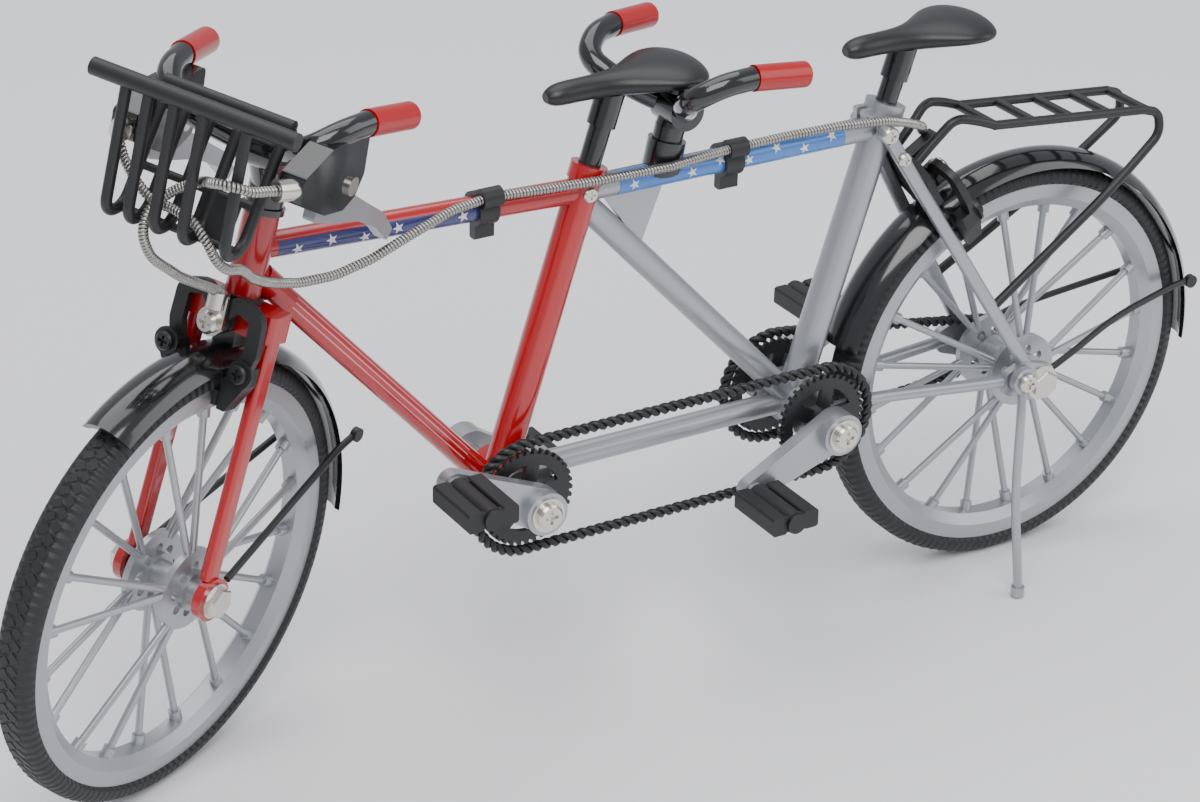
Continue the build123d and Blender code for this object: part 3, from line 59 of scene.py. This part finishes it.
def mathNode(tree, operation, first, second=None):
    node = tree.nodes.new("ShaderNodeMath")
    node.operation = operation
    for index, value in enumerate((first, second)):
        if value is None:
            continue
        if isinstance(value, (int, float)):
            node.inputs[index].default_value = value
        else:
            tree.links.new(value, node.inputs[index])
    return node.outputs[0]


def buildCastSurface():
    # fine orange peel and uneven polish of a sprayed or moulded surface
    group, given, result = shaderGroup("castSurface", {"Grain": 900.0, "Polish": 0.3, "Unevenness": 0.1},
                                       ("Roughness", "Height"))
    place = group.nodes.new("ShaderNodeTexCoord")
    patches = group.nodes.new("ShaderNodeTexNoise")
    patches.inputs["Scale"].default_value = 120.0
    patches.inputs["Detail"].default_value = 3.0
    grain = group.nodes.new("ShaderNodeTexNoise")
    grain.inputs["Detail"].default_value = 2.0
    group.links.new(place.outputs["Object"], patches.inputs["Vector"])
    group.links.new(place.outputs["Object"], grain.inputs["Vector"])
    group.links.new(given.outputs["Grain"], grain.inputs["Scale"])
    swing = mathNode(group, "SUBTRACT", patches.outputs["Fac"], 0.5)
    swing = mathNode(group, "MULTIPLY", swing, given.outputs["Unevenness"])
    group.links.new(mathNode(group, "ADD", swing, given.outputs["Polish"]), result.inputs["Roughness"])
    group.links.new(grain.outputs["Fac"], result.inputs["Height"])
    return group


def buildWheelRibs():
    # radial ribs round a wheel, from the angle about the wheel's own axle
    group = bpy.data.node_groups.new("wheelRibs", "ShaderNodeTree")
    group.interface.new_socket(name="Place", in_out="INPUT", socket_type="NodeSocketVector")
    count = group.interface.new_socket(name="Count", in_out="INPUT", socket_type="NodeSocketFloat")
    count.default_value = 120.0
    group.interface.new_socket(name="Height", in_out="OUTPUT", socket_type="NodeSocketFloat")
    given, result = group.nodes.new("NodeGroupInput"), group.nodes.new("NodeGroupOutput")
    turn = group.nodes.new("ShaderNodeTexGradient")
    turn.gradient_type = "RADIAL"
    group.links.new(given.outputs["Place"], turn.inputs["Vector"])
    angle = mathNode(group, "MULTIPLY", turn.outputs["Fac"], given.outputs["Count"])
    angle = mathNode(group, "MULTIPLY", angle, 2 * math.pi)
    group.links.new(mathNode(group, "SINE", angle), result.inputs["Height"])
    return group


castSurface = buildCastSurface()
wheelRibs = buildWheelRibs()

finishes = {
    "redPaint": {"colour": (0.42, 0.002, 0.005), "polish": 0.2, "uneven": 0.08, "grain": 700, "bump": 0.02,
                 "metallic": 0.0, "coat": 0.8},
    "silverPaint": {"colour": (0.4, 0.41, 0.43), "polish": 0.36, "uneven": 0.12, "grain": 2600, "bump": 0.06,
                    "metallic": 0.75, "coat": 0.15},
    "blackPaint": {"colour": (0.008, 0.008, 0.009), "polish": 0.16, "uneven": 0.08, "grain": 700, "bump": 0.02,
                   "metallic": 0.0, "coat": 0.7},
    "blackPlastic": {"colour": (0.013, 0.013, 0.014), "polish": 0.42, "uneven": 0.14, "grain": 1500, "bump": 0.08,
                     "metallic": 0.0, "coat": 0.0},
    "polishedSteel": {"colour": (0.66, 0.63, 0.58), "polish": 0.2, "uneven": 0.12, "grain": 1200, "bump": 0.03,
                      "metallic": 1.0, "coat": 0.0},
    "woundSteel": {"colour": (0.4, 0.39, 0.37), "polish": 0.32, "uneven": 0.1, "grain": 1800, "bump": 0.03,
                   "metallic": 1.0, "coat": 0.0},
    "tyreRubber": {"colour": (0.014, 0.014, 0.015), "polish": 0.55, "uneven": 0.15, "grain": 1400, "bump": 0.1,
                   "metallic": 0.0, "coat": 0.0},
    "redGrip": {"colour": (0.4, 0.002, 0.005), "polish": 0.3, "uneven": 0.1, "grain": 900, "bump": 0.05,
                "metallic": 0.0, "coat": 0.3},
    "saddlePlastic": {"colour": (0.011, 0.011, 0.012), "polish": 0.36, "uneven": 0.12, "grain": 2200, "bump": 0.15,
                      "metallic": 0.0, "coat": 0.0},
    "pedalPlastic": {"colour": (0.012, 0.012, 0.013), "polish": 0.5, "uneven": 0.14, "grain": 1500, "bump": 0.12,
                     "metallic": 0.0, "coat": 0.0},
    "navyPrint": {"colour": (0.03, 0.035, 0.16), "polish": 0.25, "uneven": 0.08, "grain": 900, "bump": 0.02,
                  "metallic": 0.0, "coat": 0.6},
    "skyPrint": {"colour": (0.05, 0.2, 0.6), "polish": 0.25, "uneven": 0.08, "grain": 900, "bump": 0.02,
                 "metallic": 0.0, "coat": 0.6},
    "whitePrint": {"colour": (0.78, 0.78, 0.8), "polish": 0.3, "uneven": 0.08, "grain": 900, "bump": 0.02,
                   "metallic": 0.0, "coat": 0.4},
    "stripePrint": {"colour": (0.6, 0.25, 0.28), "polish": 0.3, "uneven": 0.08, "grain": 900, "bump": 0.02,
                    "metallic": 0.0, "coat": 0.4},
    "floorPaper": {"colour": (0.86, 0.86, 0.87), "polish": 0.7, "uneven": 0.05, "grain": 60, "bump": 0.01,
                   "metallic": 0.0, "coat": 0.0},
}


def makeFinish(name, look):
    material = bpy.data.materials.new(name)
    material.use_nodes = True
    tree = material.node_tree
    shader = tree.nodes["Principled BSDF"]
    shader.inputs["Base Color"].default_value = (*look["colour"], 1.0)
    shader.inputs["Metallic"].default_value = look["metallic"]
    shader.inputs["Coat Weight"].default_value = look["coat"]
    shader.inputs["Coat Roughness"].default_value = 0.06
    surface = tree.nodes.new("ShaderNodeGroup")
    surface.node_tree = castSurface
    surface.inputs["Grain"].default_value = look["grain"]
    surface.inputs["Polish"].default_value = look["polish"]
    surface.inputs["Unevenness"].default_value = look["uneven"]
    bump = tree.nodes.new("ShaderNodeBump")
    bump.name = "grainBump"
    bump.inputs["Strength"].default_value = look["bump"]
    bump.inputs["Distance"].default_value = 0.0001
    tree.links.new(surface.outputs["Roughness"], shader.inputs["Roughness"])
    tree.links.new(surface.outputs["Height"], bump.inputs["Height"])
    tree.links.new(bump.outputs["Normal"], shader.inputs["Normal"])
    return material


finish = {name: makeFinish(name, look) for name, look in finishes.items()}

# ---- where the steered pieces stand
steering = {"foot": Vector((147.553, 0, 34)) * mm, "axis": Vector((-0.27228, 0, 0.96222)), "forkTurn": 26.8,
            "barTurn": 33.6}


def steerMatrix(turn):
    about = Matrix.Rotation(math.radians(turn), 4, steering["axis"])
    return Matrix.Translation(steering["foot"]) @ about @ Matrix.Translation(-steering["foot"])


def placed(points, turn=0.0):
    moved = steerMatrix(turn)
    return [moved @ (Vector(point) * mm) for point in points]


# wheel frames: local Z along the axle, local XY in the wheel's plane
axleUp = Matrix.Rotation(math.radians(90), 4, "X")
rearWheelPlace = Matrix.Translation((0, 0, 34 * mm)) @ axleUp
frontWheelPlace = steerMatrix(steering["forkTurn"]) @ Matrix.Translation((148.8 * mm, 0, 34 * mm)) @ axleUp

tyreRibs = {"count": 150, "strength": 0.5, "depth": 0.0003}


def ribbedTyre(name, place):
    # the plain rubber with fine radial ribs on its sidewalls
    material = finish["tyreRubber"].copy()
    material.name = name
    tree = material.node_tree
    back = place.inverted()
    mapping = tree.nodes.new("ShaderNodeMapping")
    mapping.inputs["Location"].default_value = back.to_translation()
    mapping.inputs["Rotation"].default_value = back.to_euler("XYZ")
    coords = tree.nodes.new("ShaderNodeTexCoord")
    ribs = tree.nodes.new("ShaderNodeGroup")
    ribs.node_tree = wheelRibs
    ribs.inputs["Count"].default_value = tyreRibs["count"]
    bump = tree.nodes.new("ShaderNodeBump")
    bump.inputs["Strength"].default_value = tyreRibs["strength"]
    bump.inputs["Distance"].default_value = tyreRibs["depth"]
    tree.links.new(coords.outputs["Object"], mapping.inputs["Vector"])
    tree.links.new(mapping.outputs["Vector"], ribs.inputs["Place"])
    tree.links.new(ribs.outputs["Height"], bump.inputs["Height"])
    tree.links.new(tree.nodes["grainBump"].outputs["Normal"], bump.inputs["Normal"])
    tree.links.new(bump.outputs["Normal"], tree.nodes["Principled BSDF"].inputs["Normal"])
    return material


finish["rearTyre"] = ribbedTyre("rearTyre", rearWheelPlace)
finish["frontTyre"] = ribbedTyre("frontTyre", frontWheelPlace)

nodeFinish = {
    "redPaint": ("front_frame", "fork"),
    "redGrip": ("captain_grips", "stoker_grips"),
    "silverPaint": ("rear_frame", "seat_stays", "seat_collar", "front_rim", "front_spokes", "front_hub", "rear_rim",
                    "rear_spokes", "rear_hub", "rear_sprocket", "front_cranks", "rear_cranks", "kickstand",
                    "brake_lever_left", "brake_lever_right"),
    "polishedSteel": ("frame_screws", "steering_screws", "rear_axle", "front_axle", "front_crank_axle",
                      "rear_crank_axle", "cable_adjusters"),
    "blackPaint": ("stoker_stem", "stoker_handlebar", "captain_stem", "captain_handlebar", "lever_housings",
                   "headset_cups", "front_fender", "rear_fender", "captain_seatpost", "stoker_seatpost"),
    "blackPlastic": ("cable_clips", "rear_fender_stays", "front_fender_stays", "rear_rack", "basket",
                     "timing_chain", "drive_chain", "front_timing_ring", "rear_timing_ring", "drive_ring",
                     "front_brake_arm_left", "front_brake_arm_right", "rear_brake_arm_left",
                     "rear_brake_arm_right"),
    "woundSteel": ("front_brake_cable", "rear_brake_cable"),
    "saddlePlastic": ("captain_saddle", "stoker_saddle"),
    "pedalPlastic": ("front_pedal_left", "front_pedal_right", "rear_pedal_left", "rear_pedal_right"),
    "rearTyre": ("rear_tyre",),
    "frontTyre": ("front_tyre",),
}
for look, names in nodeFinish.items():
    for name in names:
        nodes[name].data.materials.clear()
        nodes[name].data.materials.append(finish[look])
print("finishes placed:", len(finish))


# ---- geometry trees: made once, run on a carrier mesh, and turned into plain meshes
def geometryTree(name, inputs):
    tree = bpy.data.node_groups.new(name, "GeometryNodeTree")
    tree.interface.new_socket(name="Geometry", in_out="INPUT", socket_type="NodeSocketGeometry")
    for label, value in inputs.items():
        kind = "NodeSocketInt" if isinstance(value, int) else "NodeSocketFloat"
        tree.interface.new_socket(name=label, in_out="INPUT", socket_type=kind).default_value = value
    tree.interface.new_socket(name="Finish", in_out="INPUT", socket_type="NodeSocketMaterial")
    tree.interface.new_socket(name="Geometry", in_out="OUTPUT", socket_type="NodeSocketGeometry")
    return tree, tree.nodes.new("NodeGroupInput"), tree.nodes.new("NodeGroupOutput")


def put(tree, kind, settings=None, **sockets):
    # a node with its settings, and its sockets joined or filled by name (spaces are left out)
    node = tree.nodes.new(kind)
    for key, value in (settings or {}).items():
        setattr(node, key, value)
    for key, value in sockets.items():
        found = [s for s in node.inputs if s.name.replace(" ", "") == key and s.enabled]
        if isinstance(value, bpy.types.NodeSocket):
            tree.links.new(value, found[0])
        else:
            found[0].default_value = value
    return node


def calc(tree, operation, first, second=0.0):
    return mathNode(tree, operation, first, second)


def vectorOf(tree, x=0.0, y=0.0, z=0.0):
    return put(tree, "ShaderNodeCombineXYZ", X=x, Y=y, Z=z).outputs[0]


def endTree(tree, result, geometry, material):
    real = put(tree, "GeometryNodeRealizeInstances", Geometry=geometry).outputs[0]
    painted = put(tree, "GeometryNodeSetMaterial", Geometry=real, Material=material).outputs[0]
    tree.links.new(painted, result.inputs[0])


def grow(name, tree, values, material, carrier=None, place=None):
    # runs a tree with these values and keeps the outcome as a plain mesh at the origin
    data = carrier or bpy.data.meshes.new(name + "Carrier")
    holder = bpy.data.objects.new(name + "Holder", data)
    bpy.context.scene.collection.objects.link(holder)
    modifier = holder.modifiers.new("tree", "NODES")
    modifier.node_group = tree
    for item in tree.interface.items_tree:
        if item.in_out == "INPUT" and item.name in values:
            modifier[item.identifier] = values[item.name]
        if item.in_out == "INPUT" and item.name == "Finish":
            modifier[item.identifier] = material
    shown = holder.evaluated_get(bpy.context.evaluated_depsgraph_get())
    mesh = bpy.data.meshes.new_from_object(shown)
    mesh.name = name
    mesh.materials.clear()
    mesh.materials.append(material)
    mesh.polygons.foreach_set("material_index", [0] * len(mesh.polygons))
    if place is not None:
        mesh.transform(place)
    piece = bpy.data.objects.new(name, mesh)
    bpy.context.scene.collection.objects.link(piece)
    bpy.data.objects.remove(holder)
    return piece


def buildWoundWire():
    # a round wire wound about a path, like a spring or one strand of a rope
    tree, given, result = geometryTree("woundWire", {"Bend": 0.008, "Step": 0.0001, "Pitch": 0.001,
                                                     "Coil Radius": 0.001, "Wire Radius": 0.0003, "Phase": 0.0})
    route = put(tree, "GeometryNodeFilletCurve", {"mode": "POLY"}, Curve=given.outputs["Geometry"], Count=8,
                Radius=given.outputs["Bend"], LimitRadius=True).outputs[0]
    even = put(tree, "GeometryNodeResampleCurve", {"mode": "LENGTH"}, Curve=route,
               Length=given.outputs["Step"]).outputs[0]
    along = tree.nodes.new("GeometryNodeSplineParameter").outputs["Length"]
    turns = calc(tree, "DIVIDE", along, given.outputs["Pitch"])
    turns = calc(tree, "ADD", turns, given.outputs["Phase"])
    angle = calc(tree, "MULTIPLY", turns, 2 * math.pi)
    side = tree.nodes.new("GeometryNodeInputNormal").outputs[0]
    run = tree.nodes.new("GeometryNodeInputTangent").outputs[0]
    cross = put(tree, "ShaderNodeVectorMath", {"operation": "CROSS_PRODUCT"})
    tree.links.new(run, cross.inputs[0])
    tree.links.new(side, cross.inputs[1])
    parts = []
    for operation, direction in (("COSINE", side), ("SINE", cross.outputs[0])):
        reach = calc(tree, "MULTIPLY", calc(tree, operation, angle), given.outputs["Coil Radius"])
        scaled = put(tree, "ShaderNodeVectorMath", {"operation": "SCALE"}, Scale=reach)
        tree.links.new(direction, scaled.inputs[0])
        parts.append(scaled.outputs[0])
    offset = tree.nodes.new("ShaderNodeVectorMath")
    tree.links.new(parts[0], offset.inputs[0])
    tree.links.new(parts[1], offset.inputs[1])
    helix = put(tree, "GeometryNodeSetPosition", Geometry=even, Offset=offset.outputs[0]).outputs[0]
    section = put(tree, "GeometryNodeCurvePrimitiveCircle", Resolution=6,
                  Radius=given.outputs["Wire Radius"]).outputs[0]
    wire = put(tree, "GeometryNodeCurveToMesh", Curve=helix, ProfileCurve=section, FillCaps=True).outputs[0]
    smooth = put(tree, "GeometryNodeSetShadeSmooth", Geometry=wire).outputs[0]
    endTree(tree, result, smooth, given.outputs["Finish"])
    return tree


def buildTreadBlocks():
    # two rows of slanted blocks round a tyre, half a step apart
    tree, given, result = geometryTree("treadBlocks", {"Count": 90, "Radius": 0.034, "Length": 0.001,
                                                       "Width": 0.001, "Height": 0.0004, "Slant": 0.5})
    ring = put(tree, "GeometryNodeMeshCircle", Vertices=given.outputs["Count"],
               Radius=given.outputs["Radius"]).outputs[0]
    index = tree.nodes.new("GeometryNodeInputIndex").outputs[0]
    step = calc(tree, "DIVIDE", 2 * math.pi, given.outputs["Count"])
    angle = calc(tree, "MULTIPLY", index, step)
    block = put(tree, "GeometryNodeMeshCube",
                Size=vectorOf(tree, given.outputs["Height"], given.outputs["Length"], given.outputs["Width"]))
    rows = put(tree, "GeometryNodeJoinGeometry")
    for side in (1, -1):
        lean = calc(tree, "MULTIPLY", given.outputs["Slant"], float(side))
        away = calc(tree, "MULTIPLY", given.outputs["Width"], side * 0.52)
        row = put(tree, "GeometryNodeTransform", Geometry=block.outputs[0], Rotation=vectorOf(tree, lean),
                  Translation=vectorOf(tree, z=away)).outputs[0]
        late = calc(tree, "MULTIPLY", step, 0.25 * (1 - side))
        turned = calc(tree, "ADD", angle, late)
        spun = put(tree, "GeometryNodeTransform", Geometry=ring, Rotation=vectorOf(tree, z=late)).outputs[0]
        laid = put(tree, "GeometryNodeInstanceOnPoints", Points=spun, Instance=row,
                   Rotation=vectorOf(tree, z=turned)).outputs[0]
        tree.links.new(laid, rows.inputs[0])
    endTree(tree, result, rows.outputs[0], given.outputs["Finish"])
    return tree


def wrapOnTube(tree, given, geometry):
    # bends a flat pattern round a tube that lies along X; Y becomes the way round it
    spot = put(tree, "ShaderNodeSeparateXYZ", Vector=tree.nodes.new("GeometryNodeInputPosition").outputs[0])
    angle = calc(tree, "DIVIDE", spot.outputs[1], given.outputs["Tube Radius"])
    radius = calc(tree, "ADD", given.outputs["Tube Radius"], spot.outputs[2])
    bent = vectorOf(tree, spot.outputs[0], calc(tree, "MULTIPLY", calc(tree, "SINE", angle), radius),
                    calc(tree, "MULTIPLY", calc(tree, "COSINE", angle), radius))
    return put(tree, "GeometryNodeSetPosition", Geometry=geometry, Position=bent).outputs[0]


def buildTubeBand():
    # a printed band along a tube
    tree, given, result = geometryTree("tubeBand", {"Tube Radius": 0.0019, "Lift": 0.00004, "Length": 0.03,
                                                    "Arc Centre": 0.0, "Arc Width": 0.004})
    sheet = put(tree, "GeometryNodeMeshGrid", SizeX=given.outputs["Length"], SizeY=given.outputs["Arc Width"],
                VerticesX=2, VerticesY=28).outputs[0]
    half = calc(tree, "MULTIPLY", given.outputs["Length"], 0.5)
    moved = put(tree, "GeometryNodeTransform", Geometry=sheet,
                Translation=vectorOf(tree, half, given.outputs["Arc Centre"], given.outputs["Lift"])).outputs[0]
    endTree(tree, result, wrapOnTube(tree, given, moved), given.outputs["Finish"])
    return tree


def buildTubeStars():
    # a row of five-pointed stars along a tube, a little up and down in turn
    tree, given, result = geometryTree("tubeStars", {"Tube Radius": 0.0019, "Lift": 0.00007, "Count": 6,
                                                     "Spacing": 0.005, "Arc Centre": 0.0, "Zigzag": 0.001,
                                                     "Star Size": 0.001})
    start = calc(tree, "MULTIPLY", given.outputs["Spacing"], 0.5)
    line = put(tree, "GeometryNodeMeshLine", {"mode": "OFFSET"}, Count=given.outputs["Count"],
               StartLocation=vectorOf(tree, start, given.outputs["Arc Centre"], given.outputs["Lift"]),
               Offset=vectorOf(tree, given.outputs["Spacing"])).outputs[0]
    index = tree.nodes.new("GeometryNodeInputIndex").outputs[0]
    swing = calc(tree, "SUBTRACT", calc(tree, "MODULO", index, 2.0), 0.5)
    sway = calc(tree, "MULTIPLY", swing, given.outputs["Zigzag"])
    line = put(tree, "GeometryNodeSetPosition", Geometry=line, Offset=vectorOf(tree, y=sway)).outputs[0]
    inner = calc(tree, "MULTIPLY", given.outputs["Star Size"], 0.4)
    star = put(tree, "GeometryNodeCurveStar", Points=5, InnerRadius=inner,
               OuterRadius=given.outputs["Star Size"]).outputs[0]
    face = put(tree, "GeometryNodeFillCurve", {"mode": "TRIANGLES"}, Curve=star).outputs[0]
    fine = put(tree, "GeometryNodeSubdivideMesh", Mesh=face, Level=2).outputs[0]
    row = put(tree, "GeometryNodeInstanceOnPoints", Points=line, Instance=fine).outputs[0]
    row = put(tree, "GeometryNodeRealizeInstances", Geometry=row).outputs[0]
    endTree(tree, result, wrapOnTube(tree, given, row), given.outputs["Finish"])
    return tree


woundWire = buildWoundWire()
treadBlocks = buildTreadBlocks()
tubeBand = buildTubeBand()
tubeStars = buildTubeStars()
print("geometry trees built")


def polyPath(name, points, closed=False):
    curve = bpy.data.curves.new(name, "CURVE")
    curve.dimensions = "3D"
    spline = curve.splines.new("POLY")
    spline.points.add(len(points) - 1)
    for spot, point in zip(spline.points, points):
        spot.co = (*point, 1.0)
    spline.use_cyclic_u = closed
    return curve


# ---- brake cables: close-wound spring housings
cables = {
    "Bend": 9 * mm, "Step": 0.065 * mm, "Pitch": 0.52 * mm, "Coil Radius": 0.5 * mm, "Wire Radius": 0.27 * mm,
    "frontBar": ((150.77, 12.04, 102.86), (154.2, 10.7, 103.6), (156.7, 8.6, 104.9), (156.2, 5.6, 104.0),
                 (153.6, 3.4, 102.2), (152.0, 0.9, 100.5), (152.2, -2.3, 98.3), (154.4, -4.75, 95.4),
                 (155.3, -4.8, 92.0), (153.9, -4.1, 88.0), (148.4, -2.4, 83.0)),
    "frontEnd": ((142.145, 0.8, 78.82),),
    "rearBar": ((150.77, -12.04, 102.86), (152.7, -11.2, 103.1), (152.4, -10.0, 100.0), (151.6, -8.2, 96.5),
                (151.9, -5.4, 95.2), (152.3, -2.2, 95.5), (153.1, 1.7, 95.3), (154.0, 4.3, 93.8),
                (153.4, 5.6, 91.0), (151.9, 6.4, 89.2)),
    "rearFrame": ((142.4, 14.2, 86.2), (139.3, 11.0, 82.9), (135.6, 8.2, 80.3), (130.4, 6.6, 78.5),
                  (124.4, 5.9, 78.1), (118.4, 5.3, 79.1), (111.0, 4.4, 81.3), (104.6, 3.2, 82.8),
                  (98.0, 2.4, 83.2), (89.6, 3.2, 83.0), (81.0, 3.9, 82.9), (68.5, 4.1, 82.8),
                  (62.4, 3.3, 82.9), (56.2, 2.3, 82.7), (47.4, 2.4, 82.9), (38.6, 3.5, 83.2),
                  (30.4, 4.8, 83.1), (25.0, 4.2, 81.4), (21.4, 2.0, 79.4), (19.53, -0.8, 77.4)),
}
frontRoute = placed(cables["frontBar"], steering["barTurn"]) + placed(cables["frontEnd"], steering["forkTurn"])
rearRoute = placed(cables["rearBar"], steering["barTurn"]) + placed(cables["rearFrame"])
frontHousing = grow("frontCableHousing", woundWire, cables, finish["woundSteel"],
                    carrier=polyPath("frontCableRoute", frontRoute))
rearHousing = grow("rearCableHousing", woundWire, cables, finish["woundSteel"],
                   carrier=polyPath("rearCableRoute", rearRoute))
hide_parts("front_brake_cable")
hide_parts("rear_brake_cable")
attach(frontHousing, "steering")
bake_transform(rearHousing)
print("cable housings wound")

# ---- chains: two strands laid like a rope
chainRope = {"strandPitch": 3.1, "Coil Radius": 0.42 * mm, "Wire Radius": 0.5 * mm, "Step": 0.3 * mm,
             "Bend": 0.0}


def chainPath(centreA, radiusA, centreB, radiusB, y):
    # closed loop round two discs, in the XZ plane; disc A lies behind disc B
    gapX, gapZ = centreB[0] - centreA[0], centreB[1] - centreA[1]
    apart = math.hypot(gapX, gapZ)
    lean = math.atan2(gapZ, gapX)
    spread = math.acos((radiusA - radiusB) / apart)
    points = []
    for centre, radius, first, last in ((centreB, radiusB, lean - spread, lean + spread),
                                        (centreA, radiusA, lean + spread, lean + 2 * math.pi - spread)):
        for step in range(49):
            angle = first + (last - first) * step / 48
            points.append(Vector((centre[0] + radius * math.cos(angle), y, centre[1] + radius * math.sin(angle))) * mm)
    return points


def ropeChain(name, points, node):
    length = sum((b - a).length for a, b in zip(points, points[1:] + points[:1]))
    turns = round(length / (chainRope["strandPitch"] * mm))
    strands = []
    for phase in (0.0, 0.5):
        values = {**chainRope, "Pitch": length / turns, "Phase": phase}
        strands.append(grow(name, woundWire, values, finish["blackPlastic"], carrier=polyPath(name, points, True)))
    with bpy.context.temp_override(active_object=strands[0], selected_editable_objects=strands):
        bpy.ops.object.join()
    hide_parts(node)
    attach(strands[0], "frame")


ropeChain("timingChainRope", chainPath((41.3, 36), 8.85, (94.1, 36), 8.85, 6.9), "timing_chain")
ropeChain("driveChainRope", chainPath((0, 34), 4.3, (41.3, 36), 9.15, -6.9), "drive_chain")
print("chains laid")

# ---- tyre treads
tread = {"Count": 110, "Radius": 33.93 * mm, "Length": 1.15 * mm, "Width": 1.5 * mm, "Height": 0.3 * mm,
         "Slant": 0.6}
for name, place, body in (("rearTread", rearWheelPlace, "rear_wheel"), ("frontTread", frontWheelPlace, "front_wheel")):
    blocks = grow(name, treadBlocks, tread, finish["tyreRubber"], place=place)
    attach(blocks, body)
print("treads cut")


# ---- printed bands, stars and stripes on the tubes
def tubePlace(start, end):
    run = (Vector(end) - Vector(start)).normalized()
    side = Vector((0, 1, 0))
    up = run.cross(side)
    place = Matrix((run, side, up)).transposed().to_4x4()
    place.translation = Vector(start) * mm
    return place


prints = {
    "topTubeFront": {"start": (99.5, 0, 80.83), "end": (131.0, 0, 81.94), "radius": 1.9, "centre": 3.3, "width": 2.7,
                     "band": "navyPrint", "stars": 6, "spacing": 5.2, "zigzag": 0.5, "size": 0.95},
    "topTubeRear": {"start": (36.0, 0, 80.2), "end": (76.0, 0, 80.2), "radius": 1.9, "centre": 2.6, "width": 4.6,
                    "band": "skyPrint", "stars": 8, "spacing": 5.0, "zigzag": 1.0, "size": 0.95},
}
for name, pattern in prints.items():
    place = tubePlace(pattern["start"], pattern["end"])
    length = (Vector(pattern["end"]) - Vector(pattern["start"])).length
    for label, side in (("Left", 1), ("Right", -1)):
        shared = {"Tube Radius": pattern["radius"] * mm, "Arc Centre": side * pattern["centre"] * mm}
        band = grow(name + "Band" + label, tubeBand,
                    {**shared, "Lift": 0.03 * mm, "Length": length * mm, "Arc Width": pattern["width"] * mm},
                    finish[pattern["band"]], place=place)
        stars = grow(name + "Stars" + label, tubeStars,
                     {**shared, "Lift": 0.07 * mm, "Count": pattern["stars"], "Spacing": pattern["spacing"] * mm,
                      "Zigzag": pattern["zigzag"] * mm, "Star Size": pattern["size"] * mm},
                     finish["whitePrint"], place=place)
        for piece in (band, stars):
            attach(piece, "frame")

stripes = {"start": (101.6, 0, 42.03), "end": (129.0, 0, 72.77), "radius": 1.85, "arcs": (0.7, 1.5, 2.3, 3.1),
           "width": 0.22}
stripePlace = tubePlace(stripes["start"], stripes["end"])
stripeLength = (Vector(stripes["end"]) - Vector(stripes["start"])).length
for number, arc in enumerate(stripes["arcs"]):
    for label, side in (("Left", 1), ("Right", -1)):
        stripe = grow("downTubeStripe" + label + str(number + 1), tubeBand,
                      {"Tube Radius": stripes["radius"] * mm, "Lift": 0.03 * mm, "Length": stripeLength * mm,
                       "Arc Centre": side * arc * mm, "Arc Width": stripes["width"] * mm},
                      finish["stripePrint"], place=stripePlace)
        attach(stripe, "frame")
print("bands, stars and stripes printed")

# ---- studio
studio = {
    "camera": {"spot": (305.929, 370.997, 263.213), "yaw": -0.55, "pitch": 0.464, "roll": 0.023, "lens": 96.87,
               "shift": (0.005, -0.0019)},
    "lights": {
        "keySoftbox": {"spot": (0.35, 0.45, 0.75), "size": 0.6, "power": 5.6},
        "fillSoftbox": {"spot": (-0.5, 0.45, 0.45), "size": 0.6, "power": 2.0},
        "topSoftbox": {"spot": (0.05, -0.25, 0.8), "size": 0.7, "power": 3.4},
    },
}
middle = Vector((0.09, 0, 0.05))
for name, light in studio["lights"].items():
    lamp = bpy.data.lights.new(name, "AREA")
    lamp.size = light["size"]
    lamp.energy = light["power"]
    holder = bpy.data.objects.new(name, lamp)
    holder.location = light["spot"]
    holder.rotation_euler = (middle - Vector(light["spot"])).to_track_quat("-Z", "Y").to_euler()
    bpy.context.scene.collection.objects.link(holder)

world = bpy.data.worlds.new("studioAir")
world.use_nodes = True
world.node_tree.nodes["Background"].inputs["Color"].default_value = (0.9, 0.93, 1.0, 1.0)
world.node_tree.nodes["Background"].inputs["Strength"].default_value = 0.6
bpy.context.scene.world = world

floorMesh = bpy.data.meshes.new("floor")
reach = 3.0
floorMesh.from_pydata([(-reach, -reach, 0), (reach, -reach, 0), (reach, reach, 0), (-reach, reach, 0)], [],
                      [(0, 1, 2, 3)])
floor = bpy.data.objects.new("floor", floorMesh)
floor.location.z = -0.0003
floorMesh.materials.append(finish["floorPaper"])
bpy.context.scene.collection.objects.link(floor)

view = studio["camera"]
look = Vector((math.sin(view["yaw"]) * math.cos(view["pitch"]), -math.cos(view["yaw"]) * math.cos(view["pitch"]),
               -math.sin(view["pitch"])))
right = look.cross(Vector((0, 0, 1))).normalized()
up = right.cross(look)
rolledRight = right * math.cos(view["roll"]) + up * math.sin(view["roll"])
rolledUp = up * math.cos(view["roll"]) - right * math.sin(view["roll"])
eye = Matrix((rolledRight, rolledUp, -look)).transposed().to_4x4()
eye.translation = Vector(view["spot"]) * mm
cameraData = bpy.data.cameras.new("camera")
cameraData.lens = view["lens"]
cameraData.sensor_width = 36
cameraData.shift_x, cameraData.shift_y = view["shift"]
cameraData.clip_start = 0.01
camera = bpy.data.objects.new("camera", cameraData)
camera.matrix_world = eye
bpy.context.scene.collection.objects.link(camera)
bpy.context.scene.camera = camera
print("studio set")
